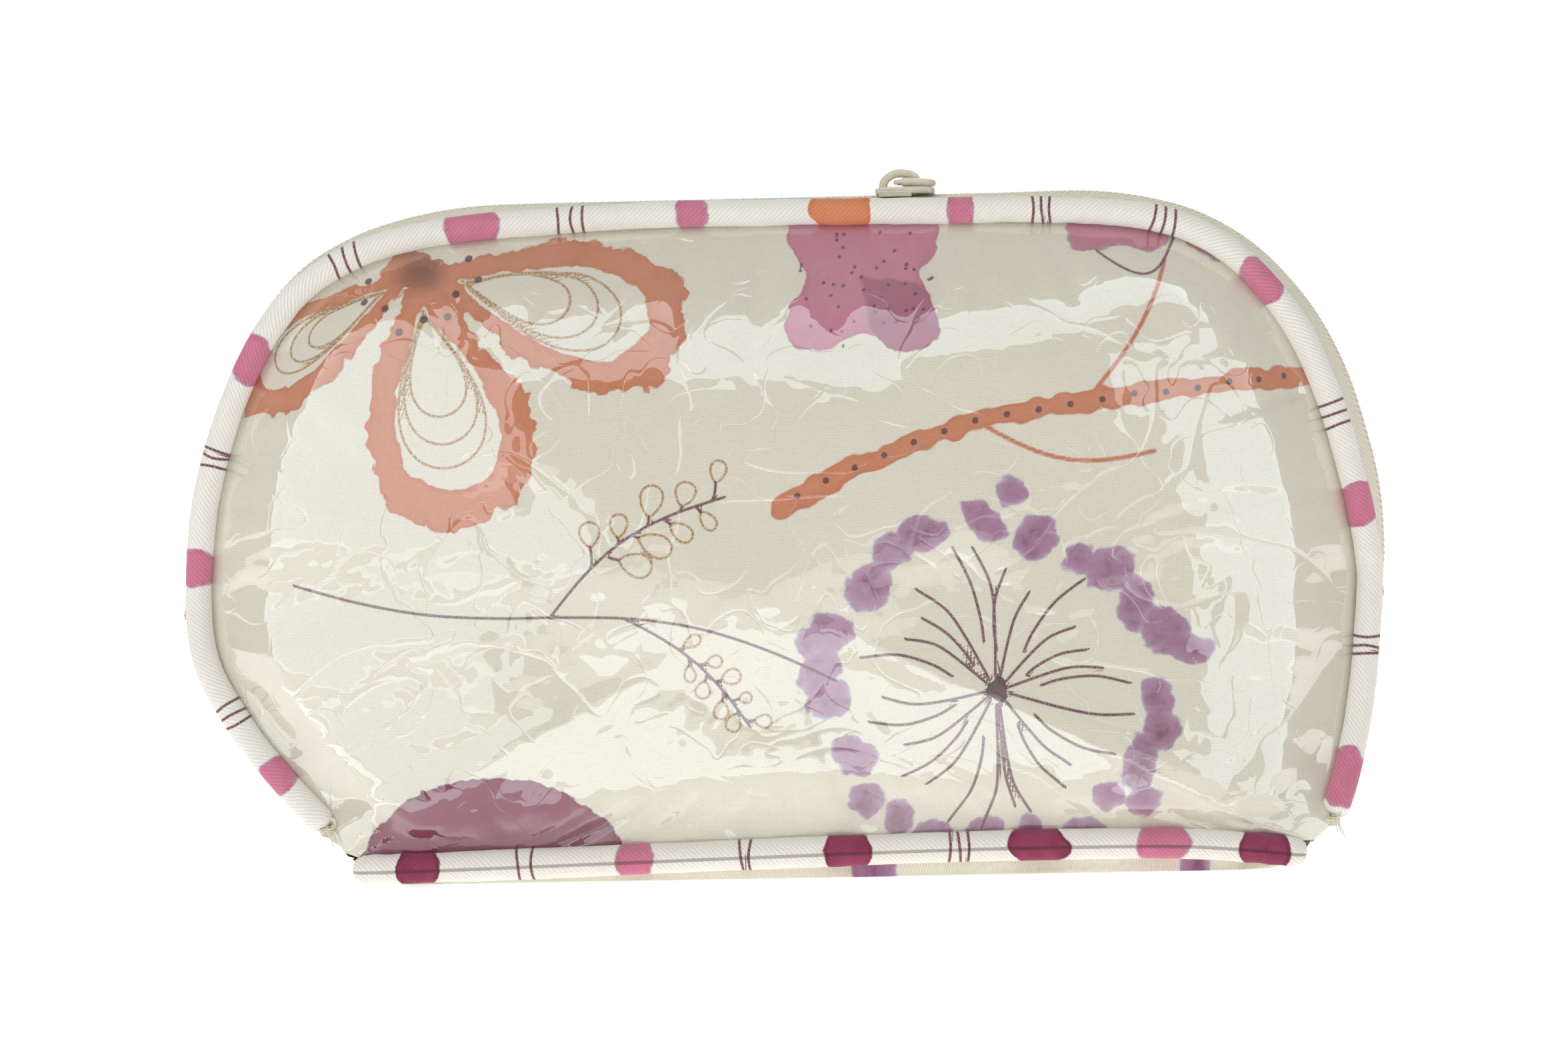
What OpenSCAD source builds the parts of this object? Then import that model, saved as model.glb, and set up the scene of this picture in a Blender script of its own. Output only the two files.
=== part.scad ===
// Dome makeup bag: printed fabric front and back under clear film, piped
// seams, a zip that runs over the top, boxed base and lining.
// Millimetres. +Z up, front towards -Y, base on Z = 0.

/* [Overall] */
// Depth of each half at the zip seam, from the middle of the bag
zip_half_depth = 13.5; // [12:0.5:16]
// Depth of each half at the foot of the bag
foot_half_depth = 28.5; // [24:0.5:32]
// How far each face stands out from the middle plane at its fullest point
belly = 31; // [28:0.5:34]
// Fullness of the faces near their seams (smaller is fuller)
crown_power = 0.8; // [0.6:0.05:1.2]

/* [Layers] */
// Thickness of the printed fabric
fabric_t = 0.7; // [0.4:0.1:0.9]
// Thickness of the clear film
film_t = 0.25; // [0.15:0.05:0.35]
// Thickness of the lining
lining_t = 0.4; // [0.2:0.1:0.6]
// Thickness of the zip tape
tape_t = 0.6; // [0.4:0.1:0.8]

/* [Piping] */
// Outer radius of the arched piping
pipe_r = 2.5; // [2:0.1:2.6]
// Outer radius of the piping along the foot
foot_pipe_r = 2.9; // [2.4:0.1:3]
// Wall of the piping sleeve
sleeve_t = 0.7; // [0.4:0.1:0.9]

/* [Zip] */
// Height of one coil
coil_h = 2.1; // [1.6:0.1:2.4]
// Width of one coil
coil_w = 2.6; // [2:0.1:3]
// Half of the gap between the two coils
coil_gap = 0.85; // [0.8:0.05:1]
// Where the slider stands along the top
slider_x = 27; // [-40:1:54]
// Length of the slider
slider_len = 11.8; // [10:0.2:13]

/* [Hidden] */

fold_z = 54;      // height of the fold, level with the two ends of the zip
fold_gap = 0.2;   // half of the clearance at the fold
layer_gap = 0.05; // clearance between layers

// Stations round the arch, from the right foot over the top to the left foot:
// seam x, seam z, middle of gusset x, middle of gusset z, depth share
// (0 at the zip seam, 1 at the foot).
S = [
  [102.1, 5.2, 102.7, 2.6, 1], [107.3, 10.5, 108.8, 8.4, 0.8], [110.9, 20.3, 113.7, 18.9, 0.5],
  [114.1, 36.5, 117.4, 36, 0.2], [115.9, 54, 119.7, 54, 0], [115.6, 61, 120.3, 61.7, 0],
  [113.9, 71.9, 119.5, 73.7, 0], [111.3, 82.9, 116.9, 85.3, 0], [107.7, 94.5, 113, 97.4, 0],
  [102, 106.6, 106.5, 109.5, 0], [93.6, 116.8, 96.9, 120.4, 0], [84.7, 123, 86.4, 127.3, 0],
  [74.8, 126.5, 75.5, 130.9, 0], [62.8, 128.2, 63, 132.6, 0], [44.9, 129, 45, 132.6, 0],
  [22.9, 129.4, 23, 132.6, 0], [-2.1, 129.5, -2, 132.6, 0], [-25.2, 129.2, -25, 132.6, 0],
  [-47.2, 128.6, -47, 132.6, 0], [-59.2, 127.8, -60, 132.2, 0], [-70.2, 126.2, -71.2, 130.5, 0],
  [-81.3, 122.9, -82.6, 127, 0], [-91.4, 117, -93.6, 120.6, 0], [-99.2, 108, -102.2, 110.6, 0],
  [-105.3, 96.6, -108.7, 98.2, 0], [-110, 83.7, -113.8, 84.8, 0], [-112.9, 70.8, -117, 71.4, 0],
  [-114, 54, -118.2, 54, 0], [-111.5, 42.2, -114.7, 41.8, 0.2], [-104.7, 30.6, -107.6, 29.7, 0.4],
  [-95.7, 20, -97.8, 18.5, 0.65], [-87.8, 11.9, -88.9, 10.1, 0.85], [-83.7, 6.2, -83.3, 3.4, 1]
];
R_FOLD = 4;               // station of the fold on the right
L_FOLD = len(S) - 6;      // and on the left
LAST = len(S) - 1;

// Foot seam, from the left foot to the right foot: x, height of the piping's
// middle, distance in front of the middle plane.
F = [[-82.3, 3.3, 28.5], [-68, 3.6, 29.6], [-40, 4.3, 30.4], [0, 5.3, 30.8], [40, 6, 30.6], [75, 5.8, 30], [92, 4.5, 29.2], [101.5, 3.3, 28.5]];

function cr(a, b, c, d, t) = 0.5 * (2 * b + (c - a) * t + (2 * a - 5 * b + 4 * c - d) * t * t + (3 * b - a - 3 * c + d) * t * t * t);
function at(tab, u) =
  let (n = len(tab) - 1, i = max(0, min(n - 1, floor(u))), t = u - i)
  cr(tab[max(0, i - 1)], tab[i], tab[i + 1], tab[min(n, i + 2)], t);
function span(a, b, n) = [for (i = [0:n]) a + (b - a) * i / n];
function unit(v) = v / norm(v);
function half_depth(share) = zip_half_depth + (foot_half_depth - zip_half_depth) * share;

// Seam and gusset-middle points in the frame of one half: side = -1 front, 1 back.
function seam(u, side) = let (s = at(S, u)) [s[0], side * half_depth(s[4]), s[1]];
function mid(u) = let (s = at(S, u)) [s[2], 0, s[3]];
function step(u) = [max(0, u - 0.05), min(LAST, u + 0.05)];
function seam_dir(u, side) = let (e = step(u)) unit(seam(e[1], side) - seam(e[0], side));
function mid_dir(u) = let (e = step(u)) unit(mid(e[1]) - mid(e[0]));
function out_of(t) = unit(cross([0, 1, 0], t));
// In the plane of the face only, for the face's own edge.
function flat_out(u) = let (e = step(u), d = seam(e[1], 1) - seam(e[0], 1)) unit([d[2], 0, -d[0]]);
function foot(v, side) = let (f = at(F, v)) [f[0], side * f[2], f[1]];
function foot_dir(v, side) = unit(foot(min(len(F) - 1, v + 0.05), side) - foot(max(0, v - 0.05), side));

// ---- solids from grids and rings ----
// Rings of points along a path, closed with flat ends.
module loft(rings) {
  n = len(rings[0]);
  m = len(rings);
  polyhedron(
    [for (r = rings) for (p = r) p],
    concat(
      [[for (j = [0:n - 1]) j]],
      [for (i = [0:m - 2]) for (j = [0:n - 1]) [i * n + j, (i + 1) * n + j, (i + 1) * n + (j + 1) % n, i * n + (j + 1) % n]],
      [[for (j = [n - 1:-1:0]) (m - 1) * n + j]]
    ), convexity = 10);
}
// A tube: outer and inner rings, with open bore.
module tube(outer, inner) {
  n = len(outer[0]);
  m = len(outer);
  k = n * m;
  polyhedron(
    concat([for (r = outer) for (p = r) p], [for (r = inner) for (p = r) p]),
    concat(
      [for (i = [0:m - 2]) for (j = [0:n - 1]) [i * n + j, (i + 1) * n + j, (i + 1) * n + (j + 1) % n, i * n + (j + 1) % n]],
      [for (i = [0:m - 2]) for (j = [0:n - 1]) [k + i * n + (j + 1) % n, k + (i + 1) * n + (j + 1) % n, k + (i + 1) * n + j, k + i * n + j]],
      [for (j = [0:n - 1]) [j, (j + 1) % n, k + (j + 1) % n, k + j]],
      [for (j = [0:n - 1]) let (a = (m - 1) * n) [k + a + j, k + a + (j + 1) % n, a + (j + 1) % n, a + j]]
    ), convexity = 10);
}
// A thin sheet between two grids of the same size.
module sheet(outer, inner) {
  m = len(outer);
  n = len(outer[0]);
  k = n * m;
  polyhedron(
    concat([for (r = outer) for (p = r) p], [for (r = inner) for (p = r) p]),
    concat(
      [for (i = [0:m - 2]) for (j = [0:n - 2]) [i * n + j, i * n + j + 1, (i + 1) * n + j + 1, (i + 1) * n + j]],
      [for (i = [0:m - 2]) for (j = [0:n - 2]) [k + (i + 1) * n + j, k + (i + 1) * n + j + 1, k + i * n + j + 1, k + i * n + j]],
      [for (j = [0:n - 2]) [j, k + j, k + j + 1, j + 1]],
      [for (j = [0:n - 2]) let (a = (m - 1) * n) [a + j + 1, k + a + j + 1, k + a + j, a + j]],
      [for (i = [0:m - 2]) [(i + 1) * n, k + (i + 1) * n, k + i * n, i * n]],
      [for (i = [0:m - 2]) let (a = n - 1) [i * n + a, k + i * n + a, k + (i + 1) * n + a, (i + 1) * n + a]]
    ), convexity = 10);
}
// A fan-shaped sheet round a middle point. rows[i][j]: i rings outwards, j along
// the rim. whole joins the last column to the first.
module fan(c0, outer, c1, inner, whole = false) {
  m = len(outer);
  n = len(outer[0]);
  k = n * m + 1;
  last = whole ? n - 1 : n - 2;
  polyhedron(
    concat([c0], [for (r = outer) for (p = r) p], [c1], [for (r = inner) for (p = r) p]),
    concat(
      [for (j = [0:last]) [0, 1 + j, 1 + (j + 1) % n]],
      [for (i = [0:m - 2]) for (j = [0:last]) [1 + i * n + j, 1 + (i + 1) * n + j, 1 + (i + 1) * n + (j + 1) % n]],
      [for (i = [0:m - 2]) for (j = [0:last]) [1 + i * n + j, 1 + (i + 1) * n + (j + 1) % n, 1 + i * n + (j + 1) % n]],
      [for (j = [0:last]) [k, k + 1 + (j + 1) % n, k + 1 + j]],
      [for (i = [0:m - 2]) for (j = [0:last]) [k + 1 + (i + 1) * n + (j + 1) % n, k + 1 + (i + 1) * n + j, k + 1 + i * n + j]],
      [for (i = [0:m - 2]) for (j = [0:last]) [k + 1 + i * n + (j + 1) % n, k + 1 + (i + 1) * n + (j + 1) % n, k + 1 + i * n + j]],
      [for (j = [0:last]) let (a = 1 + (m - 1) * n) [a + j, k + a + j, k + a + (j + 1) % n, a + (j + 1) % n]],
      whole ? [] : concat(
        [[0, k, k + 1, 1]],
        [for (i = [0:m - 2]) [1 + i * n, k + 1 + i * n, k + 1 + (i + 1) * n, 1 + (i + 1) * n]],
        [[1 + n - 1, k + 1 + n - 1, k, 0]],
        [for (i = [0:m - 2]) let (a = n - 1) [1 + (i + 1) * n + a, k + 1 + (i + 1) * n + a, k + 1 + i * n + a, 1 + i * n + a]])
    ), convexity = 10);
}

// ---- front and back faces ----
edge_in = pipe_r + 0.25; // how far the face stops short of the seam line
// Rim points [x, depth, z], in the order of the stations, then along the foot.
function rim_side(u) = let (p = seam(u, 1) - flat_out(u) * edge_in) [p[0], p[1] + 0.3, p[2]];
function rim_foot(v) = let (p = foot(v, 1)) [p[0], p[1] + 0.2, p[2] + foot_pipe_r + 0.25];
upper_rim = [for (u = span(R_FOLD, L_FOLD, 34)) rim_side(u)];
lower_rim = concat(
  [for (u = span(L_FOLD, LAST - 0.9, 8)) rim_side(u)],
  [for (v = span(0.35, len(F) - 1.35, 14)) rim_foot(v)],
  [for (u = span(0.9, R_FOLD, 7)) rim_side(u)]);
rings = [0.22, 0.45, 0.66, 0.84, 0.94, 1];
function fold_rim(rim, dz) = [for (i = [0:len(rim) - 1]) (i == 0 || i == len(rim) - 1) ? [rim[i][0], rim[i][1], fold_z + dz] : rim[i]];
function face_y(p, r) = p[1] + (belly - p[1]) * pow(1 - pow(r, 2.2), crown_power);
function face_point(p, r, dz, side, off) =
  [r * p[0], side * (face_y(p, r) + off), fold_z + dz + r * (p[2] - fold_z - dz)];
function face_rows(rim, dz, side, off) = [for (r = rings) [for (p = rim) face_point(p, r, dz, side, off)]];
module face(rim0, dz, side, off, t, whole = false) {
  rim = whole ? rim0 : fold_rim(rim0, dz);
  fan([0, side * (belly + off + t), fold_z + dz], face_rows(rim, dz, side, off + t),
      [0, side * (belly + off), fold_z + dz], face_rows(rim, dz, side, off), whole);
}
whole_rim = concat([for (i = [0:len(upper_rim) - 2]) upper_rim[i]], [for (i = [0:len(lower_rim) - 2]) lower_rim[i]]);
fabric_off = -fabric_t;
film_off = layer_gap;
lining_off = -fabric_t - 2 * layer_gap - lining_t;

printed = [0.93, 0.91, 0.86];
cream = [0.88, 0.85, 0.76];
module front_panel_upper() { color(printed) face(upper_rim, fold_gap, -1, fabric_off, fabric_t); }
module front_film_upper() { color([0.95, 0.96, 0.96, 0.3]) face(upper_rim, fold_gap, -1, film_off, film_t); }
module front_lining_upper() { color([0.9, 0.89, 0.86]) face(upper_rim, fold_gap, -1, lining_off, lining_t); }
module front_panel_lower() { color(printed) face(lower_rim, -fold_gap, -1, fabric_off, fabric_t); }
module front_film_lower() { color([0.95, 0.96, 0.96, 0.3]) face(lower_rim, -fold_gap, -1, film_off, film_t); }
module front_lining_lower() { color([0.9, 0.89, 0.86]) face(lower_rim, -fold_gap, -1, lining_off, lining_t); }
module back_panel() { color(printed) face(whole_rim, 0, 1, fabric_off, fabric_t, true); }
module back_film() { color([0.95, 0.96, 0.96, 0.3]) face(whole_rim, 0, 1, film_off, film_t, true); }
module back_lining() { color([0.9, 0.89, 0.86]) face(whole_rim, 0, 1, lining_off, lining_t, true); }

// ---- piping ----
// Section in [outwards, towards the middle plane]: a round sleeve with a sewn
// flange, and its bore with a point to match each outer point.
flange = 4.2;
function round_section(r, n) = [for (i = [0:n - 1]) [r * cos(i * 360 / n), r * sin(i * 360 / n)]];
// angles are measured from outwards; the flange leaves the sleeve at 115 degrees
sleeve_angles = [-150, -110, -70, -30, 10, 50, 85, 110, 110, 125, 125, 170];
function sleeve_section(r) = [for (i = [0:len(sleeve_angles) - 1])
  let (a = sleeve_angles[i])
  i == 8 ? [r * cos(110), r * sin(110) + flange] :
  i == 9 ? [r * cos(125) + 0.15, r * sin(110) + flange] :
  [r * cos(a), r * sin(a)]];
bore_angles = [-150, -110, -70, -30, 10, 50, 85, 108, 114, 120, 126, 170];
function bore_section(r) = [for (a = bore_angles) [r * cos(a), r * sin(a)]];
function placed(sec, c, t, side) = let (a = out_of(t), b = unit([0, -side, 0] - ([0, -side, 0] * t) * t))
  [for (q = side < 0 ? sec : [for (i = [len(sec) - 1:-1:0]) sec[i]]) c + q[0] * a + q[1] * b];
module sleeve(us, side) {
  tube([for (u = us) placed(sleeve_section(pipe_r), seam(u, side), seam_dir(u, side), side)],
       [for (u = us) placed(bore_section(pipe_r - sleeve_t), seam(u, side), seam_dir(u, side), side)]);
}
module cord(us, side) {
  loft([for (u = us) placed(round_section(pipe_r - sleeve_t - 0.15, 8), seam(u, side), seam_dir(u, side), side)]);
}
arch_end = 1.05;          // the arched piping stops this many stations from each foot
up = span(R_FOLD + 0.03, L_FOLD - 0.03, 44);
down_r = span(arch_end, R_FOLD - 0.03, 7);
down_l = span(L_FOLD + 0.03, LAST - arch_end, 9);
all_u = concat(span(arch_end, R_FOLD, 6), [for (i = [1:43]) R_FOLD + (L_FOLD - R_FOLD) * i / 43], [for (i = [1:8]) L_FOLD + (LAST - arch_end - L_FOLD) * i / 8]);
module front_piping() { color(printed) sleeve(up, -1); }
module front_piping_cord() { color("white") cord(up, -1); }
module front_piping_ends() { color(printed) { sleeve(down_r, -1); sleeve(down_l, -1); } }
module front_piping_end_cords() { color("white") { cord(down_r, -1); cord(down_l, -1); } }
module back_piping() { color(printed) sleeve(all_u, 1); }
module back_piping_cord() { color("white") cord(all_u, 1); }

// Piping along the foot. Outwards is up and forward there.
foot_v = span(0, len(F) - 1, 26);
function foot_placed(sec, v, side) =
  let (t = foot_dir(v, side), b = unit([0, 0, 1] - ([0, 0, 1] * t) * t), a = cross(t, b) * -1)
  [for (q = side > 0 ? sec : [for (i = [len(sec) - 1:-1:0]) sec[i]]) foot(v, side) + q[0] * [a[0], a[1], a[2]] * 1 + q[1] * b];
module foot_sleeve(side) {
  tube([for (v = foot_v) foot_placed(round_section(foot_pipe_r, 12), v, side)],
       [for (v = foot_v) foot_placed(round_section(foot_pipe_r - sleeve_t, 12), v, side)]);
}
module foot_cord(side) { loft([for (v = foot_v) foot_placed(round_section(foot_pipe_r - sleeve_t - 0.15, 8), v, side)]); }
module front_foot_piping() { color(printed) foot_sleeve(-1); }
module front_foot_cord() { color("white") foot_cord(-1); }
module back_foot_piping() { color(printed) foot_sleeve(1); }
module back_foot_cord() { color("white") foot_cord(1); }

// ---- zip ----
zip_u = span(R_FOLD + 0.03, L_FOLD - 0.03, 56);
tape_from = pipe_r + 0.2; // the tape starts beside the sleeve, on its flange
function rise(t) = pow(t, 0.8);
function tape_point(u, t, side, off) =
  let (p = seam(u, side), m = mid(u), n = out_of(mid_dir(u)), a = out_of(seam_dir(u, side)),
       y = (zip_half_depth - tape_from) * (1 - t) + coil_gap * t, g = rise(t),
       base = p + a * 0.35, q = base + (m - base) * g)
  [q[0], side * y, q[2]] + n * off;
tape_t_steps = [0, 0.34, 0.68, 1];
module tape(side) {
  color(cream) sheet(
    [for (u = zip_u) [for (t = side < 0 ? tape_t_steps : [1, 0.68, 0.34, 0]) tape_point(u, t, side, 0)]],
    [for (u = zip_u) [for (t = side < 0 ? tape_t_steps : [1, 0.68, 0.34, 0]) tape_point(u, t, side, -tape_t)]]);
}
function coil_section(w, h) = [[0, 0.25], [0.25, 0], [h - 0.6, 0], [h, 0.6], [h, w - 0.6], [h - 0.6, w], [0.25, w], [0, w - 0.25]];
function coil_ring(u, side) =
  let (s = coil_section(coil_w, coil_h))
  [for (q = side < 0 ? s : [for (i = [len(s) - 1:-1:0]) s[i]]) tape_point(u, 1 - q[1] / (zip_half_depth - tape_from - coil_gap), side, -(tape_t + layer_gap + q[0]))];
module coil(side) { color(cream) loft([for (u = zip_u) coil_ring(u, side)]); }
module front_zip_tape() { tape(-1); }
module back_zip_tape() { tape(1); }
module front_zip_coil() { coil(-1); }
module back_zip_coil() { coil(1); }

// ---- gussets beside the base ----
function gusset_point(u, t, off, back = 0) =
  let (s = at(S, u), p = [s[0], 0, s[1]], m = mid(u), n = out_of(mid_dir(u)),
       full = half_depth(s[4]) - tape_from, y = (full - back) * t,
       g = pow(1 - (y / full) * (y / full), 0.8), q = p + (m - p) * g)
  [q[0], y, q[2]] + n * off;
gusset_t = [-1, -0.75, -0.45, 0, 0.45, 0.75, 1];
module gusset(us, off, t, back = 0) {
  sheet([for (u = us) [for (k = gusset_t) gusset_point(u, k, off + t, back)]],
        [for (u = us) [for (k = gusset_t) gusset_point(u, k, off, back)]]);
}
// the lining is sewn to the edge of the piping's flange
lining_back = flange + 1;
gus_r = span(0.12, R_FOLD - 0.03, 8);
gus_l = span(L_FOLD + 0.03, LAST - 0.12, 9);
module right_gusset() { color(printed) gusset(gus_r, -fabric_t, fabric_t); }
module left_gusset() { color(printed) gusset(gus_l, -fabric_t, fabric_t); }
module right_gusset_lining() { color([0.9, 0.89, 0.86]) gusset(span(0.3, R_FOLD - 0.03, 8), -1.95, lining_t, lining_back); }
module left_gusset_lining() { color([0.9, 0.89, 0.86]) gusset(span(L_FOLD + 0.03, LAST - 0.3, 9), -1.95, lining_t, lining_back); }

// ---- base ----
// Flat sole with a turned-up rim that meets the foot seams and the gussets.
sole = [[-76, -24], [-72, -26], [-40, -26.4], [0, -26.6], [40, -26.4], [90, -26], [95, -24], [97, -20], [97, 0], [97, 20], [95, 24], [90, 26], [40, 26.4], [0, 26.6], [-40, 26.4], [-72, 26], [-76, 24], [-78, 20], [-78, 0], [-78, -20]];
rim_z = [1.4, 1.6, 2.2, 3.2, 3.6, 2.2, 1.6, 1.2, 1, 1.2, 1.6, 2.2, 3.6, 3.2, 2.2, 1.6, 1.4, 1.2, 1, 1.2];
rim_xy = [[-79, -25.2], [-73, -26.4], [-40, -27.2], [0, -27.6], [40, -27.4], [91, -26.2], [97.5, -25], [100.4, -20.5], [100.8, 0], [100.4, 20.5], [97.5, 25], [91, 26.2], [40, 27.4], [0, 27.6], [-40, 27.2], [-73, 26.4], [-79, 25.2], [-81.6, 20.5], [-82, 0], [-81.6, -20.5]];
base_t = 1;
module base_panel() {
  n = len(sole);
  color(printed) union() {
    linear_extrude(base_t) polygon(sole);
    // sewn edge, turned up from inside the sole to the seams
    polyhedron(
      concat([for (p = sole) [p[0] * 0.985, p[1] * 0.96, 0.25]], [for (p = sole) [p[0] * 0.985, p[1] * 0.96, 0.85]],
             [for (i = [0:n - 1]) [rim_xy[i][0], rim_xy[i][1], rim_z[i]]],
             [for (i = [0:n - 1]) [rim_xy[i][0], rim_xy[i][1], rim_z[i] + 0.8]]),
      concat(
        [for (i = [0:n - 1]) let (j = (i + 1) % n) [i, 2 * n + i, 2 * n + j, j]],
        [for (i = [0:n - 1]) let (j = (i + 1) % n) [2 * n + i, 3 * n + i, 3 * n + j, 2 * n + j]],
        [for (i = [0:n - 1]) let (j = (i + 1) % n) [3 * n + i, n + i, n + j, 3 * n + j]],
        [for (i = [0:n - 1]) let (j = (i + 1) % n) [n + i, i, j, n + j]]), convexity = 6);
  }
}
module base_lining() { color([0.9, 0.89, 0.86]) translate([0, 0, base_t + layer_gap]) linear_extrude(lining_t) polygon([for (p = sole) [p[0] * 0.965, p[1] * 0.93]]); }

// ---- stitched tacks ----
module zip_end_tacks() {
  color(cream) {
    translate([mid(R_FOLD - 0.12)[0] + 0.1, -4.5, fold_z - 2.6]) cube([0.7, 9, 1.4]);
    translate([mid(L_FOLD + 0.12)[0] - 0.8, -4.5, fold_z - 2.6]) cube([0.7, 9, 1.4]);
  }
}
module corner_tacks() {
  color(cream) for (side = [-1, 1], u = [0.94, LAST - 0.94]) translate(seam(u, side)) sphere(r = 0.9, $fn = 24);
}

// ---- slider and pull ring ----
rail_z = S[15][3];               // outer face of the tape along the straight top
plate_z = rail_z + 0.3;          // underside of the slider's upper plate
plate_t = 1.4;
under_z = rail_z - tape_t - layer_gap - coil_h - 1.15; // top of the lower plate
under_t = 1.2;
module slider_outline(w1, w2) {
  polygon([[-slider_len / 2, -w2 / 2 + 1], [-slider_len / 2 + 1, -w2 / 2], [-1, -w2 / 2 - 0.2], [2.2, -w1 / 2], [slider_len / 2 - 1.6, -w1 / 2], [slider_len / 2, -w1 / 2 + 1.8],
           [slider_len / 2, w1 / 2 - 1.8], [slider_len / 2 - 1.6, w1 / 2], [2.2, w1 / 2], [-1, w2 / 2 + 0.2], [-slider_len / 2 + 1, w2 / 2], [-slider_len / 2, w2 / 2 - 1]]);
}
// Side profile of the bridge that holds the ring, as an arch.
bridge_in = [for (a = [0:15:180]) [-0.7 + 2.5 * cos(a), 1.0 + 1.25 * sin(a)]];
bridge_out = [for (a = [180:-15:0]) [-0.7 + 3.5 * cos(a), 1.0 + 2.25 * sin(a)]];
module slider_body() {
  color([0.86, 0.84, 0.74]) translate([slider_x, 0, 0]) union() {
    translate([0, 0, plate_z]) linear_extrude(plate_t) slider_outline(9, 7.6);
    // side flange on the front, beside the zipped chain
    translate([-slider_len / 2 + 0.8, -4, plate_z - 0.5]) cube([6.4, 0.7, 0.75]);
    // neck between the two coils
    translate([2, -0.5, under_z - 0.2]) cube([2.8, 1, plate_z - under_z + 0.4]);
    // lower plate under the front coil, with its lip
    translate([-slider_len / 2 + 0.6, -4.4, under_z - under_t]) cube([slider_len - 1.2, 4.9, under_t]);
    translate([-slider_len / 2 + 0.6, -4.4, under_z - 0.2]) cube([slider_len - 3.2, 0.65, 1.5]);
    // bridge
    translate([0, 0.9, plate_z + plate_t - 0.2]) rotate([90, 0, 0]) linear_extrude(1.8)
      polygon(concat([[1.8, 0]], bridge_in, [[-3.2, 0], [-4.2, 0]], bridge_out, [[2.8, 0]]));
  }
}
pivot_x = slider_x - 1.5;
pivot_z = plate_z + plate_t + 1.0;
module pull_ring() {
  color([0.86, 0.84, 0.74]) translate([pivot_x, 0, pivot_z]) rotate([0, 2, 0]) union() {
    for (s = [-1, 1]) translate([-0.55, s * 2.05 - 0.55, -0.55]) cube([7.2, 1.1, 1.1]);
    rotate([90, 0, 0]) cylinder(r = 0.5, h = 4.2, center = true, $fn = 32);
    translate([6, -2.6, -0.55]) cube([1.5, 5.2, 1.1]);
  }
}

front_panel_upper();
front_film_upper();
front_lining_upper();
front_panel_lower();
front_film_lower();
front_lining_lower();
back_panel();
back_film();
back_lining();
front_piping();
front_piping_cord();
front_piping_ends();
front_piping_end_cords();
back_piping();
back_piping_cord();
front_foot_piping();
front_foot_cord();
back_foot_piping();
back_foot_cord();
front_zip_tape();
back_zip_tape();
front_zip_coil();
back_zip_coil();
left_gusset();
right_gusset();
left_gusset_lining();
right_gusset_lining();
base_panel();
base_lining();
zip_end_tacks();
corner_tacks();
slider_body();
pull_ring();
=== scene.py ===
# Makeup bag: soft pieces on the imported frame. Metres in Blender, millimetres in the shape functions.
import math

import bpy
import numpy as np
from mathutils import Matrix, Vector


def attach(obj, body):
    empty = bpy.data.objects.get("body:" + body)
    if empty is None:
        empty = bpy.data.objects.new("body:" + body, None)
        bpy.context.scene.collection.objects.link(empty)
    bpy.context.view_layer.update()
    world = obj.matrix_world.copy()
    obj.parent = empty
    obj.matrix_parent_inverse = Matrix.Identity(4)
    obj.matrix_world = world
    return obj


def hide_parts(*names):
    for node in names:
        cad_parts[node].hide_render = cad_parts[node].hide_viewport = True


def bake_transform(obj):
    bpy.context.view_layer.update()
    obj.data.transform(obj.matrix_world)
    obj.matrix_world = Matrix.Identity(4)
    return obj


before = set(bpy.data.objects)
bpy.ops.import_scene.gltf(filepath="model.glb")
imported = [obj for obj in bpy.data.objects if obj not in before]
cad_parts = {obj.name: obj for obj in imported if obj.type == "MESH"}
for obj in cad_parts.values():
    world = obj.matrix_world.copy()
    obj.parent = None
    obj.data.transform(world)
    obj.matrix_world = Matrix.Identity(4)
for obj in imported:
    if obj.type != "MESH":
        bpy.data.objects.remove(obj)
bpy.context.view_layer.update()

# ------------------------------------------------------------------ the part's own numbers (mm)
ZIP_HALF, FOOT_HALF, BELLY, CROWN = 13.5, 28.5, 31.0, 0.8
PIPE_R, FOOT_R, TAPE_T, COIL_H = 2.5, 2.9, 0.6, 2.1
FOLD_Z = 54.0
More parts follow.
